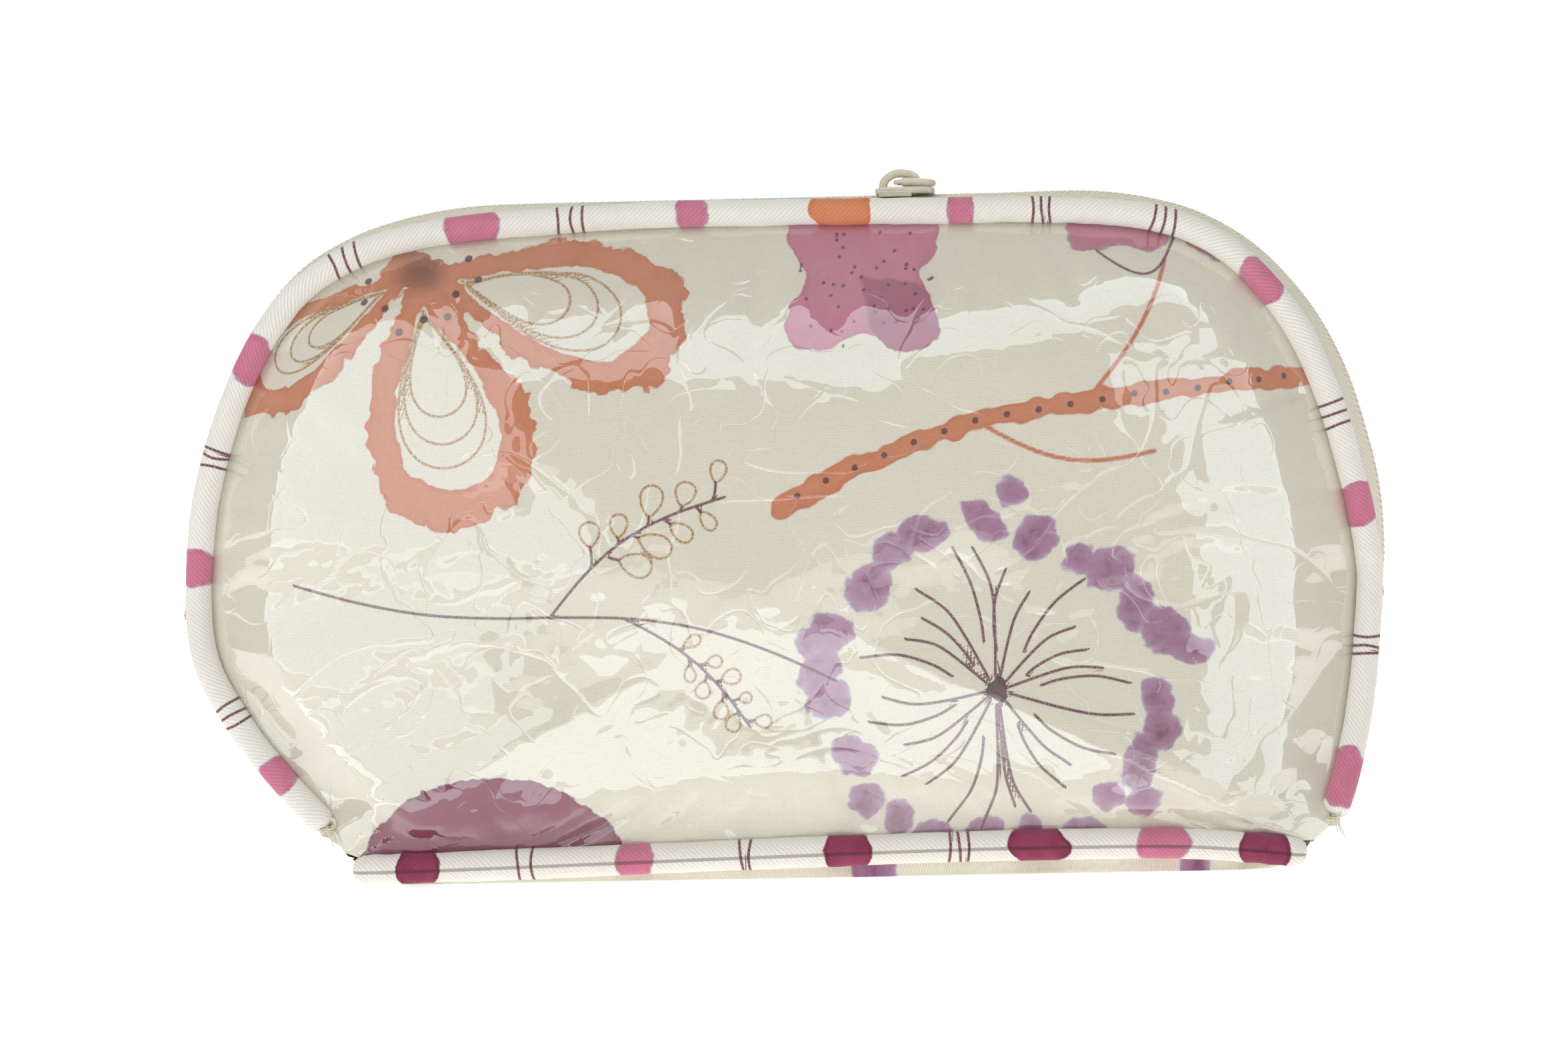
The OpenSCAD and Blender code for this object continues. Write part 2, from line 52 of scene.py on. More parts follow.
S = np.array([
    [102.1, 5.2, 102.7, 2.6, 1], [107.3, 10.5, 108.8, 8.4, 0.8], [110.9, 20.3, 113.7, 18.9, 0.5],
    [114.1, 36.5, 117.4, 36, 0.2], [115.9, 54, 119.7, 54, 0], [115.6, 61, 120.3, 61.7, 0],
    [113.9, 71.9, 119.5, 73.7, 0], [111.3, 82.9, 116.9, 85.3, 0], [107.7, 94.5, 113, 97.4, 0],
    [102, 106.6, 106.5, 109.5, 0], [93.6, 116.8, 96.9, 120.4, 0], [84.7, 123, 86.4, 127.3, 0],
    [74.8, 126.5, 75.5, 130.9, 0], [62.8, 128.2, 63, 132.6, 0], [44.9, 129, 45, 132.6, 0],
    [22.9, 129.4, 23, 132.6, 0], [-2.1, 129.5, -2, 132.6, 0], [-25.2, 129.2, -25, 132.6, 0],
    [-47.2, 128.6, -47, 132.6, 0], [-59.2, 127.8, -60, 132.2, 0], [-70.2, 126.2, -71.2, 130.5, 0],
    [-81.3, 122.9, -82.6, 127, 0], [-91.4, 117, -93.6, 120.6, 0], [-99.2, 108, -102.2, 110.6, 0],
    [-105.3, 96.6, -108.7, 98.2, 0], [-110, 83.7, -113.8, 84.8, 0], [-112.9, 70.8, -117, 71.4, 0],
    [-114, 54, -118.2, 54, 0], [-111.5, 42.2, -114.7, 41.8, 0.2], [-104.7, 30.6, -107.6, 29.7, 0.4],
    [-95.7, 20, -97.8, 18.5, 0.65], [-87.8, 11.9, -88.9, 10.1, 0.85], [-83.7, 6.2, -83.3, 3.4, 1]], float)
F = np.array([[-82.3, 3.3, 28.5], [-68, 3.6, 29.6], [-40, 4.3, 30.4], [0, 5.3, 30.8], [40, 6, 30.6],
              [75, 5.8, 30], [92, 4.5, 29.2], [101.5, 3.3, 28.5]], float)
LAST, R_FOLD, L_FOLD = len(S) - 1, 4, len(S) - 6
SLIDER_X, RAIL_Z = 27.0, 132.6


def at(tab, u):
    u = np.atleast_1d(np.asarray(u, float))
    n = len(tab) - 1
    i = np.clip(np.floor(u).astype(int), 0, n - 1)
    t = (u - i)[:, None]
    a, b, c, d = tab[np.maximum(i - 1, 0)], tab[i], tab[i + 1], tab[np.minimum(i + 2, n)]
    return 0.5 * (2 * b + (c - a) * t + (2 * a - 5 * b + 4 * c - d) * t * t + (3 * b - a - 3 * c + d) * t ** 3)


def unit(v):
    return v / np.maximum(np.linalg.norm(v, axis=-1, keepdims=True), 1e-12)


def half_depth(share):
    return ZIP_HALF + (FOOT_HALF - ZIP_HALF) * share


def seam(u, side):
    s = at(S, u)
    return np.stack([s[:, 0], side * half_depth(s[:, 4]), s[:, 1]], 1)


def mid(u):
    s = at(S, u)
    return np.stack([s[:, 2], 0 * s[:, 0], s[:, 3]], 1)


def along(f, u, *a):
    lo, hi = np.clip(u - 0.05, 0, LAST), np.clip(u + 0.05, 0, LAST)
    return unit(f(hi, *a) - f(lo, *a))


def out_of(t):
    return unit(np.cross(np.array([0, 1.0, 0]), t))


def foot(v, side):
    f = at(F, v)
    return np.stack([f[:, 0], side * f[:, 2], f[:, 1]], 1)


def by_length(f, a, b, n):
    """n values of f's parameter from a to b, evenly spaced along the curve, with their lengths."""
    u = np.linspace(a, b, 1600)
    p = f(u)
    s = np.concatenate([[0], np.cumsum(np.linalg.norm(np.diff(p, axis=0), axis=1))])
    t = np.linspace(0, s[-1], n)
    return np.interp(t, s, u), t


# ------------------------------------------------------------------ smooth noise
def noise2(x, y, seed=0):
    x, y = np.broadcast_arrays(np.asarray(x, float), np.asarray(y, float))
    xi, yi = np.floor(x).astype(np.int64), np.floor(y).astype(np.int64)
    xf, yf = x - xi, y - yi

    def h(a, b):
        n = (a * 374761393 + b * 668265263 + seed * 974634777) & 0xFFFFFFFF
        n = ((n ^ (n >> 13)) * 1274126177) & 0xFFFFFFFF
        n = (n ^ (n >> 16)) & 0xFFFF
        return n / 32767.5 - 1.0

    sx, sy = xf * xf * xf * (xf * (xf * 6 - 15) + 10), yf * yf * yf * (yf * (yf * 6 - 15) + 10)
    a = h(xi, yi) * (1 - sx) + h(xi + 1, yi) * sx
    b = h(xi, yi + 1) * (1 - sx) + h(xi + 1, yi + 1) * sx
    return a * (1 - sy) + b * sy


def fbm(x, y, seed=0, octaves=3):
    v, amp, tot = 0.0, 1.0, 0.0
    for k in range(octaves):
        v = v + amp * noise2(x * 2 ** k + 17.3 * k, y * 2 ** k - 9.1 * k, seed + k)
        tot += amp
        amp *= 0.5
    return v / tot


# ------------------------------------------------------------------ mesh helpers
def link(o):
    bpy.context.scene.collection.objects.link(o)
    return o


def grid_mesh(name, P, mat, wrap_j=False, caps=False, attrs=None, smooth=True):
    """P: (m, n, 3) in mm. Quads over the grid; wrap_j joins the last column to the first."""
    m, n = P.shape[:2]
    verts = P.reshape(-1, 3) * 0.001
    i, j = np.meshgrid(np.arange(m - 1), np.arange(n if wrap_j else n - 1), indexing="ij")
    i, j = i.ravel(), j.ravel()
    jn = (j + 1) % n
    quads = np.stack([i * n + j, i * n + jn, (i + 1) * n + jn, (i + 1) * n + j], 1)
    me = bpy.data.meshes.new(name)
    faces = quads.tolist()
    if caps:
        faces.append(list(range(n - 1, -1, -1)))
        faces.append([(m - 1) * n + k for k in range(n)])
    me.from_pydata(verts.tolist(), [], faces)
    me.update()
    for key, val in (attrs or {}).items():
        put(me, key, val)
    if smooth:
        me.polygons.foreach_set("use_smooth", [True] * len(me.polygons))
    o = link(bpy.data.objects.new(name, me))
    o.data.materials.append(mat)
    return o


def put(me, key, val):
    val = np.asarray(val, np.float32)
    if val.ndim == 1 or val.shape[-1] == 1:
        a = me.attributes.new(key, "FLOAT", "POINT")
        a.data.foreach_set("value", val.ravel())
    else:
        a = me.attributes.new(key, "FLOAT_VECTOR", "POINT")
        a.data.foreach_set("vector", val.reshape(-1, 3).ravel())


def soup(name, parts, mat, smooth=True):
    """One mesh of many pieces: parts is a list of (verts in mm, faces)."""
    vs, fs, k = [], [], 0
    for v, f in parts:
        vs.append(np.asarray(v, float))
        fs += [[a + k for a in q] for q in f]
        k += len(v)
    me = bpy.data.meshes.new(name)
    me.from_pydata((np.concatenate(vs) * 0.001).tolist(), [], fs)
    me.update()
    if smooth:
        me.polygons.foreach_set("use_smooth", [True] * len(me.polygons))
    o = link(bpy.data.objects.new(name, me))
    o.data.materials.append(mat)
    return o


def tube(path, frames, radius, k, phase=0.0):
    """(m, k, 3) rings round a path; radius may be (m, k). frames is (outwards, sideways)."""
    a, b = frames
    ang = np.arange(k) * 2 * math.pi / k + phase
    r = np.broadcast_to(radius, (len(path), k))
    return path[:, None] + r[..., None] * (np.cos(ang)[None, :, None] * a[:, None] + np.sin(ang)[None, :, None] * b[:, None]), ang


# ------------------------------------------------------------------ the print
# The pattern is this script's own: loose painted petals, a dotted blob, a knobbly twig, a burst of stems
# with round dabs, and fine line sprigs. Motif outlines are in pattern units of 0.15625 mm.
U_MM = 0.15625


LEAN = math.radians(1.25)


def to_uv(x, z):
    """Pattern units (6.4 to the millimetre) at a place on the bag; the cloth was cut a little off its grain."""
    c, q = math.cos(LEAN), math.sin(LEAN)
    return 1000 + (x * c - (z + 1.7) * q) / U_MM, 1113 - (x * q + (z + 1.7) * c) / U_MM


def smooth_loop(pts, k=7, closed=True):
    p = np.array(pts, float)
    n = len(p)
    out = []
    for i in range(n if closed else n - 1):
        a = p[(i - 1) % n] if closed or i > 0 else p[0]
        b, c = p[i], p[(i + 1) % n]
        d = p[(i + 2) % n] if closed or i + 2 < n else p[-1]
        for t in np.arange(k) / k:
            out.append(0.5 * (2 * b + (c - a) * t + (2 * a - 5 * b + 4 * c - d) * t * t + (3 * b - a - 3 * c + d) * t ** 3))
    if not closed:
        out.append(p[-1])
    return np.array(out)


def seg_dist(q, a, b):
    ab = b - a
    t = np.clip(((q[:, None] - a[None]) * ab[None]).sum(-1) / np.maximum((ab * ab).sum(-1), 1e-9)[None], 0, 1)
    d = q[:, None] - (a[None] + t[..., None] * ab[None])
    return d, t


FAR = 40.0


def poly_sd(U, V, pts, rough=0.0, seed=0):
    """Signed distance in pattern units, negative inside, capped at FAR."""
    out = np.full(U.shape, FAR)
    lo, hi = pts.min(0) - FAR, pts.max(0) + FAR
    w = np.where((U > lo[0]) & (U < hi[0]) & (V > lo[1]) & (V < hi[1]))[0]
    if not len(w):
        return out
    for c in range(0, len(w), 20000):
        k = w[c:c + 20000]
        q = np.stack([U[k], V[k]], 1)
        a, b = pts, np.roll(pts, -1, 0)
        d, _ = seg_dist(q, a, b)
        dist = np.sqrt((d * d).sum(-1)).min(1)
        cross = ((a[None, :, 1] > q[:, None, 1]) != (b[None, :, 1] > q[:, None, 1]))
        with np.errstate(divide="ignore", invalid="ignore"):
            xs = (b[:, 0] - a[:, 0])[None] * (q[:, 1:2] - a[None, :, 1]) / (b[:, 1] - a[:, 1])[None] + a[None, :, 0]
        inside = (cross & (q[:, 0:1] < xs)).sum(1) % 2 == 1
        out[k] = np.where(inside, -dist, dist)
    if rough:
        out = out + rough * (fbm(U / 14, V / 14, seed + 3, 3))
    return np.minimum(out, FAR)


def line_field(U, V, lines):
    """(signed distance to the nearest line, unsigned distance), pattern units."""
    A, B = np.full(U.shape, FAR), np.full(U.shape, FAR)
    for pts in lines:
        lo, hi = pts.min(0) - 12, pts.max(0) + 12
        w = np.where((U > lo[0]) & (U < hi[0]) & (V > lo[1]) & (V < hi[1]))[0]
        if not len(w):
            continue
        a, b = pts[:-1], pts[1:]
        for c in range(0, len(w), 20000):
            k = w[c:c + 20000]
            q = np.stack([U[k], V[k]], 1)
            d, _ = seg_dist(q, a, b)
            l2 = (d * d).sum(-1)
            n = l2.argmin(1)
            dist = np.sqrt(l2[np.arange(len(k)), n])
            ab = (b - a)[n]
            dn = d[np.arange(len(k)), n]
            sg = np.where(ab[:, 0] * dn[:, 1] - ab[:, 1] * dn[:, 0] >= 0, 1.0, -1.0)
            better = dist < B[k]
            A[k] = np.where(better, sg * dist, A[k])
            B[k] = np.where(better, dist, B[k])
    return A, B


def ell(cx, cy, rx, ry, rot=0, n=18):
    t = np.arange(n) * 2 * math.pi / n
    c, s = math.cos(math.radians(rot)), math.sin(math.radians(rot))
    x, y = rx * np.cos(t), ry * np.sin(t)
    return np.stack([cx + c * x - s * y, cy + s * x + c * y], 1)


def wobble(pts, amp, seed):
    """A hand-drawn wobble on an outline."""
    c = pts.mean(0)
    k = np.arange(len(pts))
    f = 1 + amp * np.array([noise2(i * 0.55, seed * 3.7, seed) for i in k]).ravel()
    return c + (pts - c) * f[:, None]


def drop(tip, ang, length, width, n=40, fat=0.62):
    """A petal: a drop shape from its point at tip, along ang (degrees, down the page positive)."""
    t = np.linspace(0, 2 * math.pi, n, endpoint=False)
    u = (1 - np.cos(t)) / 2
    s = np.sin(t) * np.power(np.maximum(u, 1e-6), fat)
    c, q = math.cos(math.radians(ang)), math.sin(math.radians(ang))
    x, y = u * length, s * width / 2 * 1.25
    return np.stack([tip[0] + c * x - q * y, tip[1] + q * x + c * y], 1)


def ring_petal(tip, ang, length, width, seed):
    out = wobble(drop(tip, ang, length, width), 0.07, seed)
    c, q = math.cos(math.radians(ang)), math.sin(math.radians(ang))
    start = (tip[0] + c * length * 0.15, tip[1] + q * length * 0.15)
    inn = wobble(drop(start, ang + 1, length * 0.70, width * 0.62), 0.06, seed + 1)
    lines = []
    for k, f in enumerate((0.84, 0.70, 0.54)):
        p = drop((tip[0] + c * length * (0.17 + 0.01 * k), tip[1] + q * length * (0.17 + 0.01 * k)), ang + 2 - k, length * 0.70 * f, width * 0.62 * f)
        lines.append(np.concatenate([p, p[:1]]))
    return (smooth_loop(out, 3), smooth_loop(inn, 3)), lines


HEART = (548, 352)
PETALS, GOLD = [], []
for ang, length, width, seed in ((76, 330, 225, 3), (13, 350, 205, 7), (146, 285, 130, 11)):
    p_, l_ = ring_petal(HEART, ang, length, width, seed)
    PETALS.append(p_)
    GOLD += l_
PETALS.append((smooth_loop(wobble(ell(545, 350, 44, 29, 8, 16), 0.14, 17)), None))
DARK_SPOT = HEART


def lobed(cx, cy, r, n, depth, rot, squash=1.0, k=60):
    t = np.arange(k) * 2 * math.pi / k
    q = r * (1 + depth * np.cos(n * t + math.radians(rot)))
    return np.stack([cx + q * np.cos(t), cy + squash * q * np.sin(t)], 1)


MAUVE = [wobble(lobed(1102, 358, 96, 4, 0.26, 180, 1.0), 0.03, 21)]
MAUVE_DARK = wobble(drop((1098, 356), 42, 128, 104), 0.04, 23)
PINK = [wobble(lobed(1420, 268, 78, 5, 0.16, 90, 0.75), 0.04, 25), wobble(ell(1536, 312, 48, 17, 24), 0.05, 26)]
DOME = [wobble(ell(650, 1106, 170, 134, 0, 30), 0.03, 27)]
def sweep(a, b, bow, turn=0.0, n=9):
    """A curve from a to b that bows to one side, and turns back along its way."""
    a, b = np.array(a, float), np.array(b, float)
    t = np.linspace(0, 1, n)[:, None]
    d = b - a
    return a + d * t + np.array([-d[1], d[0]]) * (bow * np.sin(math.pi * t) + turn * np.sin(2 * math.pi * t))


TWIG = smooth_loop(sweep((1004, 640), (1706, 468), -0.05, -0.015), 8, False)
SEED_C = np.array([1264.0, 864.0])


def seed_head():
    """A round seed head: fine curved stalks and a ring of brush dabs."""
    rnd = np.random.RandomState(15)
    dabs, stalks = [], []
    n = 23
    for i in range(n):
        a = 2 * math.pi * i / n + rnd.uniform(-0.07, 0.07)
        r = rnd.uniform(186, 218)
        q = SEED_C + r * np.array([math.cos(a) * 1.02, math.sin(a) * 0.96])
        dabs.append((q[0], q[1], rnd.uniform(21, 35), rnd.uniform(19, 31)))
        if i % 5 == 2:
            w = SEED_C + (r + rnd.uniform(22, 34)) * np.array([math.cos(a + 0.14), math.sin(a + 0.14)])
            dabs.append((w[0], w[1], rnd.uniform(16, 24), rnd.uniform(15, 22)))
    m = 26
    for i in range(m):
        a = 2 * math.pi * i / m + rnd.uniform(-0.07, 0.07)
        e = SEED_C + rnd.uniform(118, 182) * np.array([math.cos(a), math.sin(a)])
        d = e - SEED_C
        nrm = np.array([-d[1], d[0]])
        k = rnd.uniform(0.04, 0.09) * (1 if d[0] < 0 else -1) * (1 if d[1] < 0 else -1)
        g = 0.10 if i % 2 else 0.34
        stalks.append(smooth_loop([SEED_C + d * g + nrm * k * g, SEED_C + d * 0.5 + nrm * k * 0.9, SEED_C + d * 0.75 + nrm * k, e], 8, False))
    return dabs, stalks


DABS, STALKS = seed_head()
DAB_OUT = [smooth_loop(wobble(ell(x, y, a, b, (i * 47) % 180, 12), 0.10, i), 4) for i, (x, y, a, b) in enumerate(DABS)]


def leafy(path, leaves, size, seed, first=0.3):
    """A stalk with looped leaves in turn on its two sides."""
    rnd = np.random.RandomState(seed)
    p = smooth_loop(path, 10, False)
    s = np.concatenate([[0], np.cumsum(np.hypot(*np.diff(p, axis=0).T))])
    loops, stubs = [], []
    for i in range(leaves):
        f = first + (1 - first) * (i + 0.3) / leaves
        q = np.array([np.interp(f * s[-1], s, p[:, j]) for j in (0, 1)])
        w = np.array([np.interp(min(f + 0.03, 1) * s[-1], s, p[:, j]) for j in (0, 1)]) - q
        a = math.degrees(math.atan2(w[1], w[0])) + (58 if i % 2 else -58) * rnd.uniform(0.75, 1.2)
        c, t = math.cos(math.radians(a)), math.sin(math.radians(a))
        g = size * rnd.uniform(0.12, 0.8)
        b = q + g * np.array([c, t])
        stubs.append(np.array([q, (q + b) / 2 + 1.0, b]))
        ln = size * rnd.uniform(0.8, 1.35)
        d_ = drop((b[0], b[1]), a, ln, ln * rnd.uniform(0.55, 0.8), 22, 0.35)
        loops.append(np.concatenate([d_, d_[:1]]))
    return p, loops, stubs


STEMS = [smooth_loop(sweep((404, 742), (1070, 852), -0.03, 0.03), 8, False)] + STALKS
for path, leaves, size, seed, first in ((sweep((722, 778), (934, 630), -0.10), 9, 34, 5, 0.28), (sweep((814, 778), (966, 908), -0.08), 9, 19, 6, 0.35)):
    p_, l_, st_ = leafy(path, leaves, size, seed, first)
    STEMS += [p_] + st_
    GOLD += l_
STEMS.append(smooth_loop(sweep((1392, 326), (1490, 306), 0.45), 6, False))
TWIG_THIN = [smooth_loop(p, 8, False) for p in (sweep((1384, 502), (1476, 336), 0.06), sweep((1252, 546), (1456, 576), 0.12))]


def dots_sd(U, V, pts, r):
    out = np.full(U.shape, FAR)
    for x, y in pts:
        w = np.where((abs(U - x) < 14) & (abs(V - y) < 14))[0]
        if len(w):
            out[w] = np.minimum(out[w], np.hypot(U[w] - x, V[w] - y) - r)
    return out


def make_dots():
    rnd = np.random.RandomState(11)
    d = []
    s = np.concatenate([[0], np.cumsum(np.hypot(*np.diff(TWIG, axis=0).T))])
    for t in np.arange(22, s[-1], 39):
        d.append((np.interp(t, s, TWIG[:, 0]), np.interp(t, s, TWIG[:, 1]) + rnd.uniform(-2, 2)))
    small = []
    for i in range(60):
        x, y = rnd.uniform(1008, 1200), rnd.uniform(290, 460)
        small.append((x, y))
    small = [q for q in small if math.hypot(q[0] - 1102, q[1] - 362) < 88]
    return d, small


TWIG_DOTS, BLOB_DOTS = make_dots()
STAMENS = [(HEART[0] + r * math.cos(a), HEART[1] + r * math.sin(a)) for a, r in zip(np.linspace(-0.3, 3.4, 10), (64, 78, 60, 74, 66, 82, 62, 76, 66, 72))]


def print_fields(U, V):
    """The pattern's masks at these pattern points: negative inside, in pattern units."""
    U, V = np.asarray(U, float).ravel(), np.asarray(V, float).ravel()
    orange = np.full(U.shape, FAR)
    for k, (o, i) in enumerate(PETALS):
        sd = poly_sd(U, V, o, 9, 20 + k)
        if i is not None:
            sd = np.maximum(sd, -poly_sd(U, V, i, 4, 40 + k))
        orange = np.minimum(orange, sd)
    _, tw = line_field2(U, V, TWIG)
    width = 12 + 5 * noise2(U / 16, V / 16, 77) + 3 * np.clip((1120 - U) / 120, 0, 1)
    twig = np.minimum(tw - width, FAR)
    _, thin = line_field(U, V, TWIG_THIN)
    orange = np.minimum(orange, np.minimum(twig, thin - 2.6))
    dark = np.hypot((U - DARK_SPOT[0]), (V - DARK_SPOT[1]) * 1.15)
    mauve = np.min([poly_sd(U, V, p, 5, 50) for p in MAUVE], axis=0)
    mdark = poly_sd(U, V, MAUVE_DARK, 4, 52)
    pink = np.min([poly_sd(U, V, p, 5, 54) for p in PINK], axis=0)
    dome = np.min([poly_sd(U, V, p, 5, 56) for p in DOME], axis=0)
    dab = np.min([poly_sd(U, V, p, 7, 60 + k) for k, p in enumerate(DAB_OUT)], axis=0)
    ga, gb = line_field(U, V, GOLD)
    sa, sb = line_field(U, V, STEMS)
    dots = np.minimum(dots_sd(U, V, TWIG_DOTS, 4.2), dots_sd(U, V, BLOB_DOTS, 2.6))
    dots = np.minimum(dots, dots_sd(U, V, STAMENS, 5.0))
    hub = np.hypot(U - SEED_C[0], (V - SEED_C[1]) * 0.8) - 12 + 4 * noise2(U / 6, V / 6, 91)
    dots = np.minimum(dots, np.minimum(hub, FAR))
    return {"pr1": np.stack([orange, dark, mauve], 1), "pr2": np.stack([mdark, pink, dome], 1), "pr3": np.stack([dab, dots, 0 * dab + FAR], 1),
            "ln1": np.stack([ga, gb, 0 * ga], 1), "ln2": np.stack([sa, sb, 0 * sa], 1)}


def line_field2(U, V, pts):
    out = np.full(U.shape, FAR)
    lo, hi = pts.min(0) - FAR, pts.max(0) + FAR
    w = np.where((U > lo[0]) & (U < hi[0]) & (V > lo[1]) & (V < hi[1]))[0]
    for c in range(0, len(w), 20000):
        k = w[c:c + 20000]
        d, _ = seg_dist(np.stack([U[k], V[k]], 1), pts[:-1], pts[1:])
        out[k] = np.sqrt((d * d).sum(-1)).min(1)
    return None, out


def edge_marks():
    """Patches and strokes spaced along the pipings, in turn: the pattern where a bias strip cuts through it."""
    rnd = np.random.RandomState(19)
    pink, dark, orange, lines = [], [], [], []
    for f, a, b, n, turn in ((lambda q: seam(q, -1), 1.0, LAST - 1.0, 18, "plplpllpoplplplplp"), (lambda q: foot(q, -1), 0.1, len(F) - 1.1, 9, "dlpldldpd")):
        u, L = by_length(f, a, b, 400)
        p = f(u)
        U, V = to_uv(p[:, 0], p[:, 2])
        for i in range(n):
            s_ = L[-1] * (i + 0.5 + rnd.uniform(-0.2, 0.2)) / n
            c = np.array([np.interp(s_, L, U), np.interp(s_, L, V)])
            t = np.array([np.interp(s_ + 3, L, U), np.interp(s_ + 3, L, V)]) - c
            t = t / np.hypot(*t)
            m_ = np.array([-t[1], t[0]])
            kind = turn[i]
            if kind == "l":
                g = rnd.uniform(9, 16)
                for k in range(rnd.randint(2, 4)):
                    e, w = c + t * g * k, rnd.uniform(-5, 5)
                    lines.append(np.array([e + m_ * 24 + t * w, e, e - m_ * 24 + t * rnd.uniform(-5, 5)]))
                continue
            half = rnd.uniform(17, 40)
            q = wobble(ell(c[0], c[1], half, 30, math.degrees(math.atan2(t[1], t[0])), 14), 0.13, 30 + i)
            {"p": pink, "d": dark, "o": orange}[kind].append(q)
    return pink, dark, orange, lines


EDGE_PINK, EDGE_DARK, EDGE_ORANGE, EDGE_LINES = edge_marks()


def edge_fields(U, V):
    U, V = np.asarray(U, float).ravel(), np.asarray(V, float).ravel()
    pink = np.min([poly_sd(U, V, smooth_loop(p, 4), 4, 120 + k) for k, p in enumerate(EDGE_PINK)], axis=0)
    dark = np.min([poly_sd(U, V, smooth_loop(p, 4), 4, 140 + k) for k, p in enumerate(EDGE_DARK)], axis=0)
    orange = np.min([poly_sd(U, V, smooth_loop(p, 4), 4, 150 + k) for k, p in enumerate(EDGE_ORANGE)], axis=0)
    sa, sb = line_field(U, V, [smooth_loop(p, 6, False) for p in EDGE_LINES])
    far = np.full(U.shape, FAR)
    return {"pr1": np.stack([orange, far * 10, far], 1), "pr2": np.stack([far, pink, dark], 1), "pr3": np.stack([far, far, far], 1),
            "ln1": np.stack([far, far, far], 1), "ln2": np.stack([sa, sb, 0 * sa], 1)}


# ------------------------------------------------------------------ materials
def srgb(r, g, b, a=1.0):
    def f(c):
        c /= 255
        return c / 12.92 if c <= 0.04045 else ((c + 0.055) / 1.055) ** 2.4
    return (f(r), f(g), f(b), a)


class Nodes:
    def __init__(self, name):
        self.mat = bpy.data.materials.new(name)
        self.mat.use_nodes = True
        self.t = self.mat.node_tree
        self.t.nodes.clear()
        self.out = self.t.nodes.new("ShaderNodeOutputMaterial")

    def new(self, kind, **kw):
        n = self.t.nodes.new(kind)
        for k, v in kw.items():
            setattr(n, k, v)
        return n

    def set(self, socket, v):
        if isinstance(v, bpy.types.NodeSocket):
            self.t.links.new(v, socket)
        else:
            socket.default_value = v

    def math(self, op, a, b=None, c=None, clamp=False):
        n = self.new("ShaderNodeMath", operation=op, use_clamp=clamp)
        self.set(n.inputs[0], a)
        if b is not None:
            self.set(n.inputs[1], b)
        if c is not None:
            self.set(n.inputs[2], c)
        return n.outputs[0]

    def mix(self, fac, a, b, blend="MIX"):
        n = self.new("ShaderNodeMix", data_type="RGBA", blend_type=blend)
        self.set(n.inputs["Factor"], fac)
        self.set(n.inputs[6], a)
        self.set(n.inputs[7], b)
        return n.outputs[2]

    def xyz(self, name):
        a = self.new("ShaderNodeAttribute", attribute_type="GEOMETRY", attribute_name=name)
        s = self.new("ShaderNodeSeparateXYZ")
        self.t.links.new(a.outputs["Vector"], s.inputs[0])
        return s.outputs[0], s.outputs[1], s.outputs[2], a.outputs["Vector"]

    def noise(self, vec, scale, detail=3.0, rough=0.55, distort=0.0):
        n = self.new("ShaderNodeTexNoise")
        n.noise_dimensions = "3D"
        self.t.links.new(vec, n.inputs["Vector"])
        n.inputs["Scale"].default_value = scale
        n.inputs["Detail"].default_value = detail
        n.inputs["Roughness"].default_value = rough
        n.inputs["Distortion"].default_value = distort
        return n.outputs["Fac"]

    def ramp(self, v, lo, hi, a=0.0, b=1.0, smooth=True):
        n = self.new("ShaderNodeMapRange", interpolation_type="SMOOTHSTEP" if smooth else "LINEAR", clamp=True)
        self.set(n.inputs["Value"], v)
        n.inputs["From Min"].default_value = lo
        n.inputs["From Max"].default_value = hi
        n.inputs["To Min"].default_value = a
        n.inputs["To Max"].default_value = b
        return n.outputs[0]

    def bump(self, h, strength, dist, normal=None):
        n = self.new("ShaderNodeBump")
        n.inputs["Strength"].default_value = strength
        n.inputs["Distance"].default_value = dist
        self.set(n.inputs["Height"], h)
        if normal is not None:
            self.set(n.inputs["Normal"], normal)
        return n.outputs[0]


